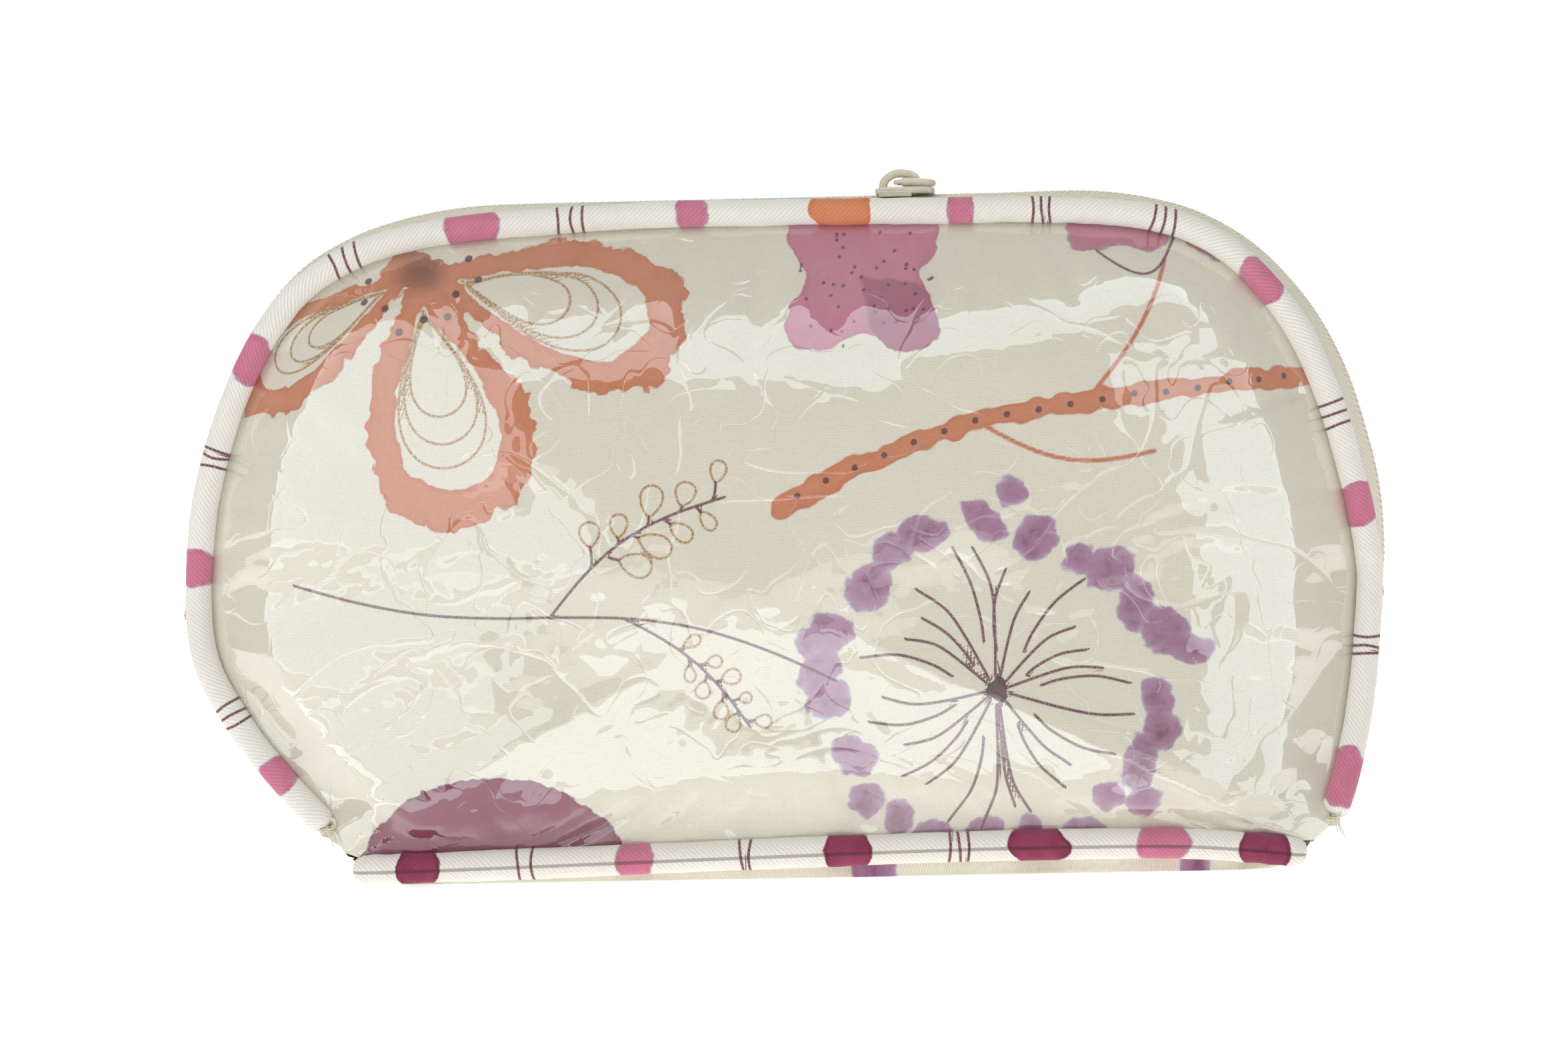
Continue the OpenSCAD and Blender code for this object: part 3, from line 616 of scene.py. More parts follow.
def cloth_material(name, base, printed=True, twill=False, pitch=0.52, depth=0.00012, shade=0.13, dirt=0.05):
    n = Nodes(name)
    x, y, z, vec = n.xyz("fab")
    wob = n.noise(vec, 0.35, 2.0)
    wx = n.math("ADD", x, n.math("MULTIPLY", wob, 0.5))
    wy = n.math("ADD", y, n.math("MULTIPLY", wob, 0.4))
    k = 2 * math.pi / pitch
    if twill:
        a = n.math("SINE", n.math("MULTIPLY", n.math("ADD", wx, wy), k * 0.62))
        b = n.math("SINE", n.math("MULTIPLY", n.math("SUBTRACT", wx, wy), k * 1.3))
        h = n.math("ADD", n.math("MULTIPLY", a, 0.42), n.math("MULTIPLY", b, 0.10))
        h = n.math("ADD", h, 0.5)
    else:
        a = n.math("SINE", n.math("MULTIPLY", wx, k))
        b = n.math("SINE", n.math("MULTIPLY", wy, k * 0.93))
        h = n.math("MULTIPLY_ADD", n.math("MULTIPLY", a, b), 0.42, 0.5)
        h = n.math("ADD", h, n.math("MULTIPLY", b, 0.10))
    slub = n.noise(vec, 1.9, 2.0, 0.7)
    h = n.math("ADD", n.math("MULTIPLY", h, 0.8), n.math("MULTIPLY", slub, 0.4))
    col = n.mix(n.noise(vec, 0.03, 3.0), base, tuple(c * (0.93 if i != 2 else 0.88) for i, c in enumerate(base[:3])) + (1,))
    if dirt:
        col = n.mix(n.ramp(n.noise(vec, 0.055, 4.0, 0.6), 0.55, 0.8, 0.0, dirt * 6), col, tuple(c * f for c, f in zip(base[:3], (0.86, 0.83, 0.74))) + (1,))
    if printed:
        o, dk, mv, _ = n.xyz("pr1")
        md, pk, dm, _ = n.xyz("pr2")
        db, dt, _z, _ = n.xyz("pr3")
        ga, gb, _z, _ = n.xyz("ln1")
        sa, sb, _z, _ = n.xyz("ln2")
        fine = n.math("MULTIPLY_ADD", n.noise(vec, 1.3, 3.0, 0.65), 2.4, -1.2)
        big = n.noise(vec, 0.16, 4.0, 0.6, 0.6)
        mid_n = n.noise(vec, 0.45, 4.0, 0.65)

        def paint(col, sd, light, deep, soft=1.3, op=1.0, edge=9.0, amount=0.55):
            sdn = n.math("ADD", sd, fine)
            fac = n.ramp(sdn, soft, -soft, 0.0, op)
            rim = n.ramp(sd, -edge, 0.0, 0.0, 1.0)
            mixf = n.math("ADD", n.math("MULTIPLY", rim, amount * 0.55), n.math("MULTIPLY", n.math("SUBTRACT", big, 0.25), amount * 1.3), clamp=True)
            inner = n.mix(mixf, light, deep)
            inner = n.mix(n.ramp(mid_n, 0.35, 0.75, 0.0, 0.25), inner, light)
            return n.mix(fac, col, inner)

        def line(col, a, b, colour, w, soft, op=1.0, broken=0.0):
            near = n.ramp(n.math("ABSOLUTE", a), w + soft, w - soft * 0.5, 0.0, op)
            close = n.ramp(b, 3.7, 2.9, 0.0, 1.0)
            f = n.math("MULTIPLY", near, close)
            if broken:
                f = n.math("MULTIPLY", f, n.ramp(n.noise(vec, 2.2, 2.0, 0.7), 0.38, 0.55, 1.0 - broken, 1.0))
            return n.mix(f, col, colour)

        col = paint(col, dm, srgb(150, 62, 92), srgb(104, 24, 52), amount=0.9)
        col = paint(col, o, srgb(214, 138, 96), srgb(186, 92, 52))
        col = n.mix(n.math("MULTIPLY", n.ramp(n.math("ADD", dk, n.math("MULTIPLY", big, 30.0)), 66.0, 20.0, 0.0, 0.85), n.ramp(n.math("ADD", o, fine), 1.3, -1.3)), col, srgb(124, 54, 26))
        col = paint(col, mv, srgb(208, 132, 154), srgb(178, 90, 114))
        col = n.mix(n.math("MULTIPLY", n.ramp(n.math("ADD", md, fine), 3.0, -3.0, 0.0, 0.55), n.ramp(mv, 1.0, -1.0)), col, srgb(138, 48, 88))
        col = paint(col, pk, srgb(204, 124, 148), srgb(172, 74, 104), soft=1.8)
        wash = n.math("MULTIPLY", n.ramp(pk, -7.0, -1.0, 0.0, 0.6), n.math("MULTIPLY", n.ramp(n.math("ADD", pk, fine), 1.8, -1.8), n.ramp(mid_n, 0.40, 0.60)))
        col = n.mix(wash, col, srgb(176, 158, 188))
        bluish = n.ramp(db, -6.0, 3.0, 0.0, 1.0)
        dabc_l = n.mix(bluish, srgb(178, 128, 160), srgb(172, 166, 196))
        dabc_d = n.mix(n.ramp(big, 0.42, 0.62), srgb(150, 96, 142), srgb(112, 40, 76))
        dabc = n.mix(n.math("ADD", n.ramp(mid_n, 0.4, 0.7, 0.0, 0.5), n.ramp(db, -2.0, -16.0, 0.0, 0.45), clamp=True), dabc_l, dabc_d)
        col = n.mix(n.ramp(n.math("ADD", db, fine), 2.2, -2.2, 0.0, 0.94), col, dabc)
        col = line(col, ga, gb, srgb(172, 120, 44), 1.3, 1.0, 0.95, broken=0.6)
        col = line(col, sa, sb, srgb(98, 20, 46), 1.5, 1.0, 0.96, broken=0.2)
        col = n.mix(n.ramp(n.math("ADD", dt, n.math("MULTIPLY", fine, 0.4)), 0.8, -0.8, 0.0, 0.9), col, srgb(76, 28, 42))
    # painted shade and highlight: the colour is darkened in the weave's low places and lightened a little on its tops,
    # following the weave height h
    painted_weave_shade = n.ramp(h, 0.15, 0.95, 1.0 - shade * 1.6, 1.0 + shade * 0.2)
    dark = n.new("ShaderNodeMix", data_type="RGBA", blend_type="MULTIPLY")
    dark.inputs["Factor"].default_value = 1.0
    comb = n.new("ShaderNodeCombineXYZ")
    for i in range(3):
        n.set(comb.inputs[i], painted_weave_shade)
    n.set(dark.inputs[6], col)
    n.set(dark.inputs[7], comb.outputs[0])
    p = n.new("ShaderNodeBsdfPrincipled")
    n.set(p.inputs["Base Color"], dark.outputs[2])
    p.inputs["Roughness"].default_value = 0.82
    p.inputs["Specular IOR Level"].default_value = 0.25
    p.inputs["Sheen Weight"].default_value = 0.12
    p.inputs["Sheen Roughness"].default_value = 0.5
    n.set(p.inputs["Normal"], n.bump(h, 0.85, depth))
    n.t.links.new(p.outputs[0], n.out.inputs["Surface"])
    return n.mat


def film_material():
    n = Nodes("clear_film")
    x, y, z, vec = n.xyz("fab")
    wide = n.noise(vec, 0.07, 2.0, 0.5, 0.5)
    fold = n.math("POWER", n.math("SUBTRACT", 1.0, n.math("ABSOLUTE", n.math("MULTIPLY_ADD", n.noise(vec, 0.032, 2.0, 0.5, 0.9), 2.0, -1.0))), 26.0)
    fold2 = n.math("POWER", n.math("SUBTRACT", 1.0, n.math("ABSOLUTE", n.math("MULTIPLY_ADD", n.noise(vec, 0.085, 1.0, 0.5, 0.7), 2.0, -1.0))), 40.0)
    ripple = n.math("ADD", n.math("ADD", wide, n.math("MULTIPLY", fold, 0.30)), n.math("MULTIPLY", fold2, 0.09))
    nb = n.bump(ripple, 0.5, 0.0006)
    fres = n.new("ShaderNodeFresnel")
    fres.inputs["IOR"].default_value = 1.52
    n.set(fres.inputs["Normal"], nb)
    gl = n.new("ShaderNodeBsdfGlossy")
    gl.inputs["Roughness"].default_value = 0.02
    gl.inputs["Color"].default_value = (1, 1, 1, 1)
    n.set(gl.inputs["Normal"], nb)
    tr = n.new("ShaderNodeBsdfTransparent")
    tr.inputs["Color"].default_value = (0.975, 0.975, 0.965, 1)
    df = n.new("ShaderNodeBsdfDiffuse")
    df.inputs["Color"].default_value = (0.9, 0.9, 0.88, 1)
    haze = n.new("ShaderNodeMixShader")
    n.set(haze.inputs[0], n.ramp(n.noise(vec, 0.05, 3.0), 0.3, 0.8, 0.01, 0.05))
    n.t.links.new(tr.outputs[0], haze.inputs[1])
    n.t.links.new(df.outputs[0], haze.inputs[2])
    mx = n.new("ShaderNodeMixShader")
    n.set(mx.inputs[0], n.math("MINIMUM", n.math("MULTIPLY", fres.outputs[0], 1.8), 0.15))
    n.t.links.new(haze.outputs[0], mx.inputs[1])
    n.t.links.new(gl.outputs[0], mx.inputs[2])
    n.t.links.new(mx.outputs[0], n.out.inputs["Surface"])
    return n.mat


def plain_material(name, base, rough=0.4, coat=0.0, grain=0.0, scale=900.0, spec=0.5, sss=0.0):
    n = Nodes(name)
    tc = n.new("ShaderNodeTexCoord")
    vec = tc.outputs["Object"]
    v = n.noise(vec, scale, 3.0)
    col = n.mix(n.ramp(v, 0.3, 0.7), base, tuple(c * 0.88 for c in base[:3]) + (1,))
    col = n.mix(n.ramp(n.noise(vec, scale * 0.16, 3.0), 0.5, 0.8, 0.0, 0.35), col, tuple(c * f for c, f in zip(base[:3], (0.8, 0.76, 0.66))) + (1,))
    p = n.new("ShaderNodeBsdfPrincipled")
    n.set(p.inputs["Base Color"], col)
    n.set(p.inputs["Roughness"], n.ramp(v, 0.2, 0.8, rough * 0.85, rough * 1.2))
    p.inputs["Specular IOR Level"].default_value = spec
    p.inputs["Coat Weight"].default_value = coat
    p.inputs["Coat Roughness"].default_value = 0.12
    n.set(p.inputs["Normal"], n.bump(v, 0.4, grain))
    n.t.links.new(p.outputs[0], n.out.inputs["Surface"])
    return n.mat


CREAM = srgb(236, 230, 216)
M_PRINT = cloth_material("printed_canvas", CREAM)
M_PIPE = cloth_material("printed_bias_twill", srgb(235, 231, 224), twill=True, pitch=0.62, depth=0.00010, shade=0.10)
M_LINING = cloth_material("lining_cloth", srgb(226, 221, 208), printed=False, pitch=0.42, depth=0.00007, shade=0.08)
M_TAPE = cloth_material("zip_tape_weave", srgb(228, 222, 204), printed=False, twill=True, pitch=0.8, depth=0.00012, shade=0.16, dirt=0.02)
M_CORD = cloth_material("cotton_cord", srgb(238, 235, 228), printed=False, twill=True, pitch=1.6, depth=0.00022, shade=0.2, dirt=0.0)
M_FILM = film_material()
M_COIL = plain_material("cream_nylon", srgb(226, 219, 198), 0.38, 0.0, 0.00003)
M_METAL = plain_material("cream_enamel", srgb(224, 217, 196), 0.30, 0.5, 0.00002, 700.0)
M_THREAD = plain_material("cream_thread", srgb(226, 218, 196), 0.8, 0.0, 0.00005)


# ------------------------------------------------------------------ faces
def smooth01(t):
    t = np.clip(t, 0, 1)
    return t * t * (3 - 2 * t)


def rim_polyline():
    v = np.linspace(0.12, len(F) - 1.12, 700)
    p = foot(v, 1)
    w = smooth01(np.minimum(v, len(F) - 1 - v) / 0.8)
    low = np.stack([p[:, 0], p[:, 1] + 0.2 - 1.2 * w, p[:, 2] + FOOT_R - 0.5], 1)
    u = np.linspace(0.2, LAST - 0.2, 2800)
    e0, e1 = seam(np.clip(u - 0.05, 0, LAST), 1), seam(np.clip(u + 0.05, 0, LAST), 1)
    d = e1 - e0
    out = unit(np.stack([d[:, 2], 0 * d[:, 0], -d[:, 0]], 1))
    p = seam(u, 1)
    w = smooth01((np.minimum(u, LAST - u) - 0.7) / 0.6)[:, None]
    side = p - out * (2.3 * w - 0.15)
    side[:, 1] += (0.3 - 1.3 * w)[:, 0]
    return low, u, side


LOW, SIDE_U, SIDE = rim_polyline()
RIM = np.concatenate([LOW, SIDE, LOW[:1]])
_ang = np.unwrap(np.arctan2(RIM[:, 2] - FOLD_Z, RIM[:, 0]))
_rad = np.hypot(RIM[:, 0], RIM[:, 2] - FOLD_Z)
_len = np.concatenate([[0], np.cumsum(np.hypot(np.diff(RIM[:, 0]), np.diff(RIM[:, 2])))])


def polar(x, z):
    phi = np.arctan2(z - FOLD_Z, x)
    phi = _ang[0] + np.mod(phi - _ang[0], 2 * math.pi)
    o = np.argsort(_ang)
    R = np.interp(phi, _ang[o], _rad[o])
    Y = np.interp(phi, _ang[o], RIM[o, 1])
    L = np.interp(phi, _ang[o], _len[o])
    dist = np.hypot(x, z - FOLD_Z)
    return np.clip(dist / R, 0, 1), Y, L, np.maximum(R - dist, 0)


def resample(P, n):
    s = np.concatenate([[0], np.cumsum(np.linalg.norm(np.diff(P, axis=0), axis=1))])
    t = np.linspace(0, s[-1], n)
    return np.stack([np.interp(t, s, P[:, k]) for k in range(P.shape[1])], 1)


def coons(ns, nt):
    c1, c2 = np.searchsorted(SIDE_U, 9.7), np.searchsorted(SIDE_U, 21.6)
    q = [0, 2]
    B = resample(LOW[:, q], ns)
    R_ = resample(np.concatenate([LOW[-1:, q], SIDE[:c1, q]]), nt)
    T = resample(SIDE[c1 - 1:c2, q][::-1], ns)
    L_ = resample(np.concatenate([SIDE[c2 - 1:, q], LOW[:1, q]])[::-1], nt)
    s, t = np.linspace(0, 1, ns)[:, None, None], np.linspace(0, 1, nt)[None, :, None]
    P = (1 - t) * B[:, None] + t * T[:, None] + (1 - s) * L_[None] + s * R_[None]
    return P - ((1 - s) * (1 - t) * B[0] + s * (1 - t) * B[-1] + (1 - s) * t * T[0] + s * t * T[-1])


def upsample(A, ns, nt):
    """Cubic interpolation of a coarse grid (n0, n1, k) to (ns, nt, k)."""
    def one(A, n):
        m = A.shape[0]
        u = np.linspace(0, m - 1, n)
        i = np.clip(np.floor(u).astype(int), 0, m - 2)
        t = (u - i).reshape((-1,) + (1,) * (A.ndim - 1))
        a, b, c, d = A[np.maximum(i - 1, 0)], A[i], A[i + 1], A[np.minimum(i + 2, m - 1)]
        return 0.5 * (2 * b + (c - a) * t + (2 * a - 5 * b + 4 * c - d) * t * t + (3 * b - a - 3 * c + d) * t ** 3)
    A = one(A, ns)
    return np.swapaxes(one(np.swapaxes(A, 0, 1), nt), 0, 1)


def cloth_relief(seed, ns=131, nt=73, frames=26):
    """How sewn-in fabric that is a little too big for its seams buckles: displacements in mm on a coarse grid."""
    P = coons(ns, nt)
    r, Y, L, d = polar(P[..., 0], P[..., 1])
    y = Y + (BELLY - Y) * np.power(np.maximum(1 - r ** 2.2, 0), CROWN)
    y = y + 0.5 * fbm(P[..., 0] / 9, P[..., 1] / 9, seed, 3) * np.clip(d / 6, 0, 1)
    base = np.stack([P[..., 0], -y, P[..., 1]], -1)
    k = 0.01
    verts = (base.reshape(-1, 3) * k).tolist()
    i, j = np.meshgrid(np.arange(ns - 1), np.arange(nt - 1), indexing="ij")
    i, j = i.ravel(), j.ravel()
    faces = np.stack([i * nt + j, (i + 1) * nt + j, (i + 1) * nt + j + 1, i * nt + j + 1], 1).tolist()
    me = bpy.data.meshes.new("sim")
    me.from_pydata(verts, [], faces)
    o = link(bpy.data.objects.new("sim", me))
    g = o.vertex_groups.new(name="pin")
    edge = [a * nt + b for a in range(ns) for b in range(nt) if a in (0, ns - 1) or b in (0, nt - 1)]
    g.add(edge, 1.0, "REPLACE")
    m = o.modifiers.new("cloth", "CLOTH")
    c = m.settings
    c.quality = 5
    c.mass = 0.25
    c.tension_stiffness = c.compression_stiffness = 22
    c.shear_stiffness = 12
    c.bending_stiffness = 0.35
    c.tension_damping = c.compression_damping = 8
    c.air_damping = 2.0
    c.vertex_group_mass = "pin"
    c.shrink_min = c.shrink_max = -0.045
    c.use_pressure = True
    c.uniform_pressure_force = 1.6
    c.effector_weights.gravity = 0.0
    m.collision_settings.use_collision = False
    sc = bpy.context.scene
    m.point_cache.frame_start, m.point_cache.frame_end = 1, frames
    sc.frame_start, sc.frame_end = 1, frames
    for f in range(1, frames + 1):
        sc.frame_set(f)
    dg = bpy.context.evaluated_depsgraph_get()
    ev = o.evaluated_get(dg)
    co = np.empty(len(me.vertices) * 3, np.float32)
    ev.data.vertices.foreach_get("co", co)
    D = co.reshape(ns, nt, 3).astype(float) / k - base
    sc.frame_set(1)
    bpy.data.objects.remove(o)
    for _ in range(3):
        Q = np.pad(D, ((1, 1), (1, 1), (0, 0)), mode="edge")
        soft = (Q[:-2, 1:-1] + Q[2:, 1:-1] + Q[1:-1, :-2] + Q[1:-1, 2:] + 2 * D) / 6
        D = soft
    size = np.linalg.norm(D, axis=-1, keepdims=True)
    cap = 3.6
    D = D * (cap * np.tanh(size / cap) / np.maximum(size, 1e-9))
    return D * smooth01(d / 15)[..., None]


def relief_for(seed):
    return cloth_relief(seed)


def pucker(L, d, x, z, seed, amount=1.0):
    """Gathers that run in from the seams, and slack in the corners."""
    M = L + 4.0 * noise2(L / 22, d / 13, seed + 9)
    a = noise2(M / 7.5, d / 34, seed) + 0.35 * noise2(M / 3.4, d / 20 + 3.3, seed + 1)
    ridge = 0.75 * a + 0.25 * ((1 - np.abs(a)) ** 2 - 0.45)
    reach = 7 + 11 * (0.5 + 0.5 * noise2(L / 13, 9.1, seed + 2))
    w = smooth01(d / 5.5) * np.exp(-d / reach)
    strength = 0.35 + 0.75 * np.clip(noise2(L / 24, 5.5, seed + 3) + 0.35, 0, 1)
    strength = strength + 1.2 * np.exp(-(((x - 100) / 14) ** 2 + ((z - 14) / 16) ** 2)) + 0.9 * np.exp(-(((x + 96) / 16) ** 2 + ((z - 22) / 22) ** 2)) + 0.5 * np.exp(-(((x + 85) / 22) ** 2 + ((z - 112) / 16) ** 2))
    return 1.7 * amount * ridge * w * strength


def face_points(ns, nt, side, seed, D, off, amount=1.0, smooth_only=False):
    P = coons(ns, nt)
    x, z = P[..., 0], P[..., 1]
    r, Y, L, d = polar(x, z)
    y = Y + (BELLY - Y) * np.power(np.maximum(1 - r ** 2.2, 0), CROWN)
    inner = smooth01(d / 22)
    slack = 1.1 * fbm(x / 42 + 3, z / 34, seed + 30, 2) * inner
    pk = pucker(L, d, x, z, seed, amount)
    Du = upsample(D, ns, nt)
    y = y + off + slack + pk - Du[..., 1]
    px = x + Du[..., 0]
    pz = z + Du[..., 2]
    return np.stack([px, side * y, pz], -1), x, z, d


D_FRONT, D_BACK = relief_for(3), relief_for(8)
NS, NT = 440, 226
FS, FT = 360, 184


def face_piece(name, side, seed, D, shift=(0, 0), ns=NS, nt=NT):
    P, x, z, d = face_points(ns, nt, side, seed, D, 0.0)
    if side > 0:
        P = P[::-1]
        x, z = x[::-1], z[::-1]
        U, V = to_uv(-x + shift[0], z + shift[1])
        fx = -x
    else:
        U, V = to_uv(x + shift[0], z + shift[1])
        fx = x
    at_ = print_fields(U, V)
    at_["fab"] = np.stack([fx, z, 0 * x], -1).reshape(-1, 3)
    return grid_mesh(name, P, M_PRINT, attrs=at_)


def film_piece(name, side, seed, D):
    P, x, z, d = face_points(FS, FT, side, seed, D, 0.0, 0.75)
    own = 0.28 + 0.22 * (1 + fbm(x / 20, z / 15, seed + 70, 2)) * np.clip(d / 8, 0, 1)
    own = own + 0.10 * np.abs(fbm(x / 7, z / 6, seed + 80, 2)) * np.clip(d / 5, 0, 1)
    P = P + np.array([0, side, 0]) * own[..., None]
    if side > 0:
        P, x, z = P[::-1], x[::-1], z[::-1]
    return grid_mesh(name, P, M_FILM, attrs={"fab": np.stack([x, z, 0 * x], -1).reshape(-1, 3)})


def lining_piece(name, side, seed, D):
    P, x, z, d = face_points(200, 104, side, seed, D, -1.2, 0.7)
    P = P - np.array([0, side, 0]) * (0.35 * (1 + fbm(x / 16, z / 12, seed + 90, 2)) * np.clip(d / 8, 0, 1) + 1.5 * np.exp(-d / 3.0))[..., None]
    far_ = np.maximum(np.hypot(x, z - FOLD_Z), 1)
    grow = 2.1 * np.exp(-d / 3.5) * smooth01((z - 6) / 6)
    P = P + np.stack([x / far_, 0 * x, (z - FOLD_Z) / far_], -1) * grow[..., None]
    if side < 0:
        P, x, z = P[::-1], x[::-1], z[::-1]
    return grid_mesh(name, P, M_LINING, attrs={"fab": np.stack([x, z, 0 * x], -1).reshape(-1, 3)})


front_fabric = face_piece("front_fabric", -1, 3, D_FRONT)
front_film = film_piece("front_film", -1, 3, D_FRONT)
front_lining = lining_piece("front_lining", -1, 3, D_FRONT)
back_fabric = face_piece("back_fabric", 1, 8, D_BACK, shift=(-46, 9), ns=400, nt=206)
back_film = film_piece("back_film_sheet", 1, 8, D_BACK)
back_lining = lining_piece("back_lining_cloth", 1, 8, D_BACK)


# ------------------------------------------------------------------ piping
def arch_frames(u, side):
    p = seam(u, side)
    t = along(seam, u, side)
    a = out_of(t)
    b = np.cross(t, a)
    return p, a, b


def piping_piece(name, side, u0, u1, n, k, seed):
    u, L = by_length(lambda q: seam(q, side), u0, u1, n)
    p, a, b = arch_frames(u, side)
    ang = np.arange(k) * 2 * math.pi / k
    LL, AA = np.meshgrid(L, ang, indexing="ij")
    fit = 2.62 + 0.10 * fbm(LL / 9, np.cos(AA) * 0.7, seed, 2) + 0.07 * fbm(LL / 2.6 + AA * 0.8, np.sin(AA), seed + 4, 2)
    fit = fit + 0.05 * np.sin(LL / 1.9 + 2.2 * np.sin(AA)) * np.clip(noise2(LL / 11, 0, seed + 6) + 0.2, 0, 1)
    ends = np.clip(np.minimum(LL - L[0], L[-1] - LL) / 1.6, 0, 1)
    fit = fit * (0.35 + 0.65 * np.sqrt(ends))
    sag = 0.35 * noise2(L / 26, 0, seed + 8)[:, None]
    P, _ = tube(p + a * sag, (a, b), fit, k)
    U, V = to_uv(P[..., 0], P[..., 2])
    if side > 0:
        U = 2000 - U + 60
    at_ = edge_fields(U, V)
    at_["fab"] = np.stack([LL, AA * 2.6, 0 * LL], -1).reshape(-1, 3)
    if side > 0:
        pass
    return grid_mesh(name, P, M_PIPE, wrap_j=True, caps=True, attrs=at_)


front_pipe = piping_piece("front_piping_sleeve", -1, 0.98, LAST - 0.98, 1150, 28, 5)
back_pipe = piping_piece("back_piping_sleeve", 1, 0.98, LAST - 0.98, 760, 24, 15)


def cord_piece(name, side, path, a, b, r, k=10):
    P, _ = tube(path, (a, b), r, k)
    L = np.concatenate([[0], np.cumsum(np.linalg.norm(np.diff(path, axis=0), axis=1))])
    LL, AA = np.meshgrid(L, np.arange(k) * 2 * math.pi / k, indexing="ij")
    return grid_mesh(name, P, M_CORD, wrap_j=True, caps=True, attrs={"fab": np.stack([LL, AA * r, 0 * LL], -1).reshape(-1, 3)})


def arch_cord(name, side):
    u, _ = by_length(lambda q: seam(q, side), 1.05, LAST - 1.05, 260)
    p, a, b = arch_frames(u, side)
    return cord_piece(name, side, p, a, b, 1.6)


front_cord = arch_cord("front_piping_filler", -1)
back_cord = arch_cord("back_piping_filler", 1)


def foot_frames(v, side):
    p = foot(v, side)
    n = len(F) - 1
    t = unit(foot(np.clip(v + 0.05, 0, n), side) - foot(np.clip(v - 0.05, 0, n), side))
    up = np.array([0, 0, 1.0]) - t * t[:, 2:3]
    up = unit(up)
    return p, np.cross(t, up), up


def foot_piece(name, side, seed):
    v, L = by_length(lambda q: foot(q, side), 0, len(F) - 1, 420)
    p, a, b = foot_frames(v, side)
    k = 28
    ang = np.arange(k) * 2 * math.pi / k
    LL, AA = np.meshgrid(L, ang, indexing="ij")
    r = 2.95 + 0.12 * fbm(LL / 9, np.cos(AA) * 0.7, seed, 2) + 0.07 * fbm(LL / 2.6 + AA * 0.8, np.sin(AA), seed + 4, 2)
    r = r + 0.12 * np.exp(-np.minimum(LL, L[-1] - LL) / 6.0) * np.sin(LL * 1.4 + AA)
    ends = np.clip(np.minimum(LL, L[-1] - LL) / 2.2, 0, 1)
    r = r * (0.45 + 0.55 * np.sqrt(ends))
    P, _ = tube(p, (a, b), r, k)
    P[..., 2] = np.maximum(P[..., 2], 0.15)
    U, V = to_uv(P[..., 0], P[..., 2])
    if side > 0:
        U = 2000 - U + 40
    at_ = edge_fields(U, V)
    at_["fab"] = np.stack([LL, AA * 2.9, 0 * LL], -1).reshape(-1, 3)
    return grid_mesh(name, P, M_PIPE, wrap_j=True, caps=True, attrs=at_)


front_foot = foot_piece("front_foot_sleeve", -1, 25)
back_foot = foot_piece("back_foot_sleeve", 1, 35)


def foot_cord(name, side):
    v, _ = by_length(lambda q: foot(q, side), 0.05, len(F) - 1.05, 120)
    p, a, b = foot_frames(v, side)
    return cord_piece(name, side, p, a, b, 1.95)


front_foot_filler = foot_cord("front_foot_filler", -1)
back_foot_filler = foot_cord("back_foot_filler", 1)


# ------------------------------------------------------------------ zip
def tape_surface(u, T, side, off, edge=0.32):
    """(len(u), len(T), 3): the tape from beside its piping (T=0) to the middle (T=1)."""
    p, m_ = seam(u, side), mid(u)
    nrm = out_of(along(mid, u))
    a = out_of(along(seam, u, side))
    base = p + a * 0.35
    y = (ZIP_HALF - 1.6) * (1 - T) + edge * T
    g = np.power(T, 0.8)
    q = base[:, None] + (m_ - base)[:, None] * g[None, :, None]
    q = q + nrm[:, None] * np.broadcast_to(off, (len(u), len(T)))[..., None]
    q[..., 1] = side * y[None]
    return q


def tape_piece(name, side, seed):
    n = 520
    u, L = by_length(mid, R_FOLD + 0.03, L_FOLD - 0.03, n)
    T = np.concatenate([np.linspace(0, 0.8, 12), np.linspace(0.84, 1, 8)])
    LL, TT = np.meshgrid(L, T, indexing="ij")
    off = 0.10 * fbm(LL / 12, TT * 2, seed, 2) - 0.35 * np.exp(-((TT - 0.20) / 0.025) ** 2) * 0.6
    off = off + 0.22 * np.exp(-((TT - 0.90) / 0.05) ** 2)
    off = np.where(np.abs(LL - 0) < 0, off, off)
    P = tape_surface(u, T, side, off)
    if side > 0:
        P = P[:, ::-1]
        LL, TT = LL[:, ::-1], TT[:, ::-1]
    return grid_mesh(name, P, M_TAPE, attrs={"fab": np.stack([LL, TT * 12, 0 * LL], -1).reshape(-1, 3)})


front_tape = tape_piece("front_tape", -1, 45)
back_tape = tape_piece("back_tape", 1, 46)


def ball(k1=6, k2=8):
    vs, fs = [(0, 0, 1.0)], []
    for i in range(1, k1):
        th = math.pi * i / k1
        for j in range(k2):
            ph = 2 * math.pi * j / k2
            vs.append((math.sin(th) * math.cos(ph), math.sin(th) * math.sin(ph), math.cos(th)))
    vs.append((0, 0, -1.0))
    for j in range(k2):
        fs.append((0, 1 + j, 1 + (j + 1) % k2))
    for i in range(k1 - 2):
        for j in range(k2):
            a = 1 + i * k2
            fs.append((a + j, a + k2 + j, a + k2 + (j + 1) % k2, a + (j + 1) % k2))
    for j in range(k2):
        a = 1 + (k1 - 2) * k2
        fs.append((a + (j + 1) % k2, a + j, len(vs) - 1))
    return np.array(vs), fs


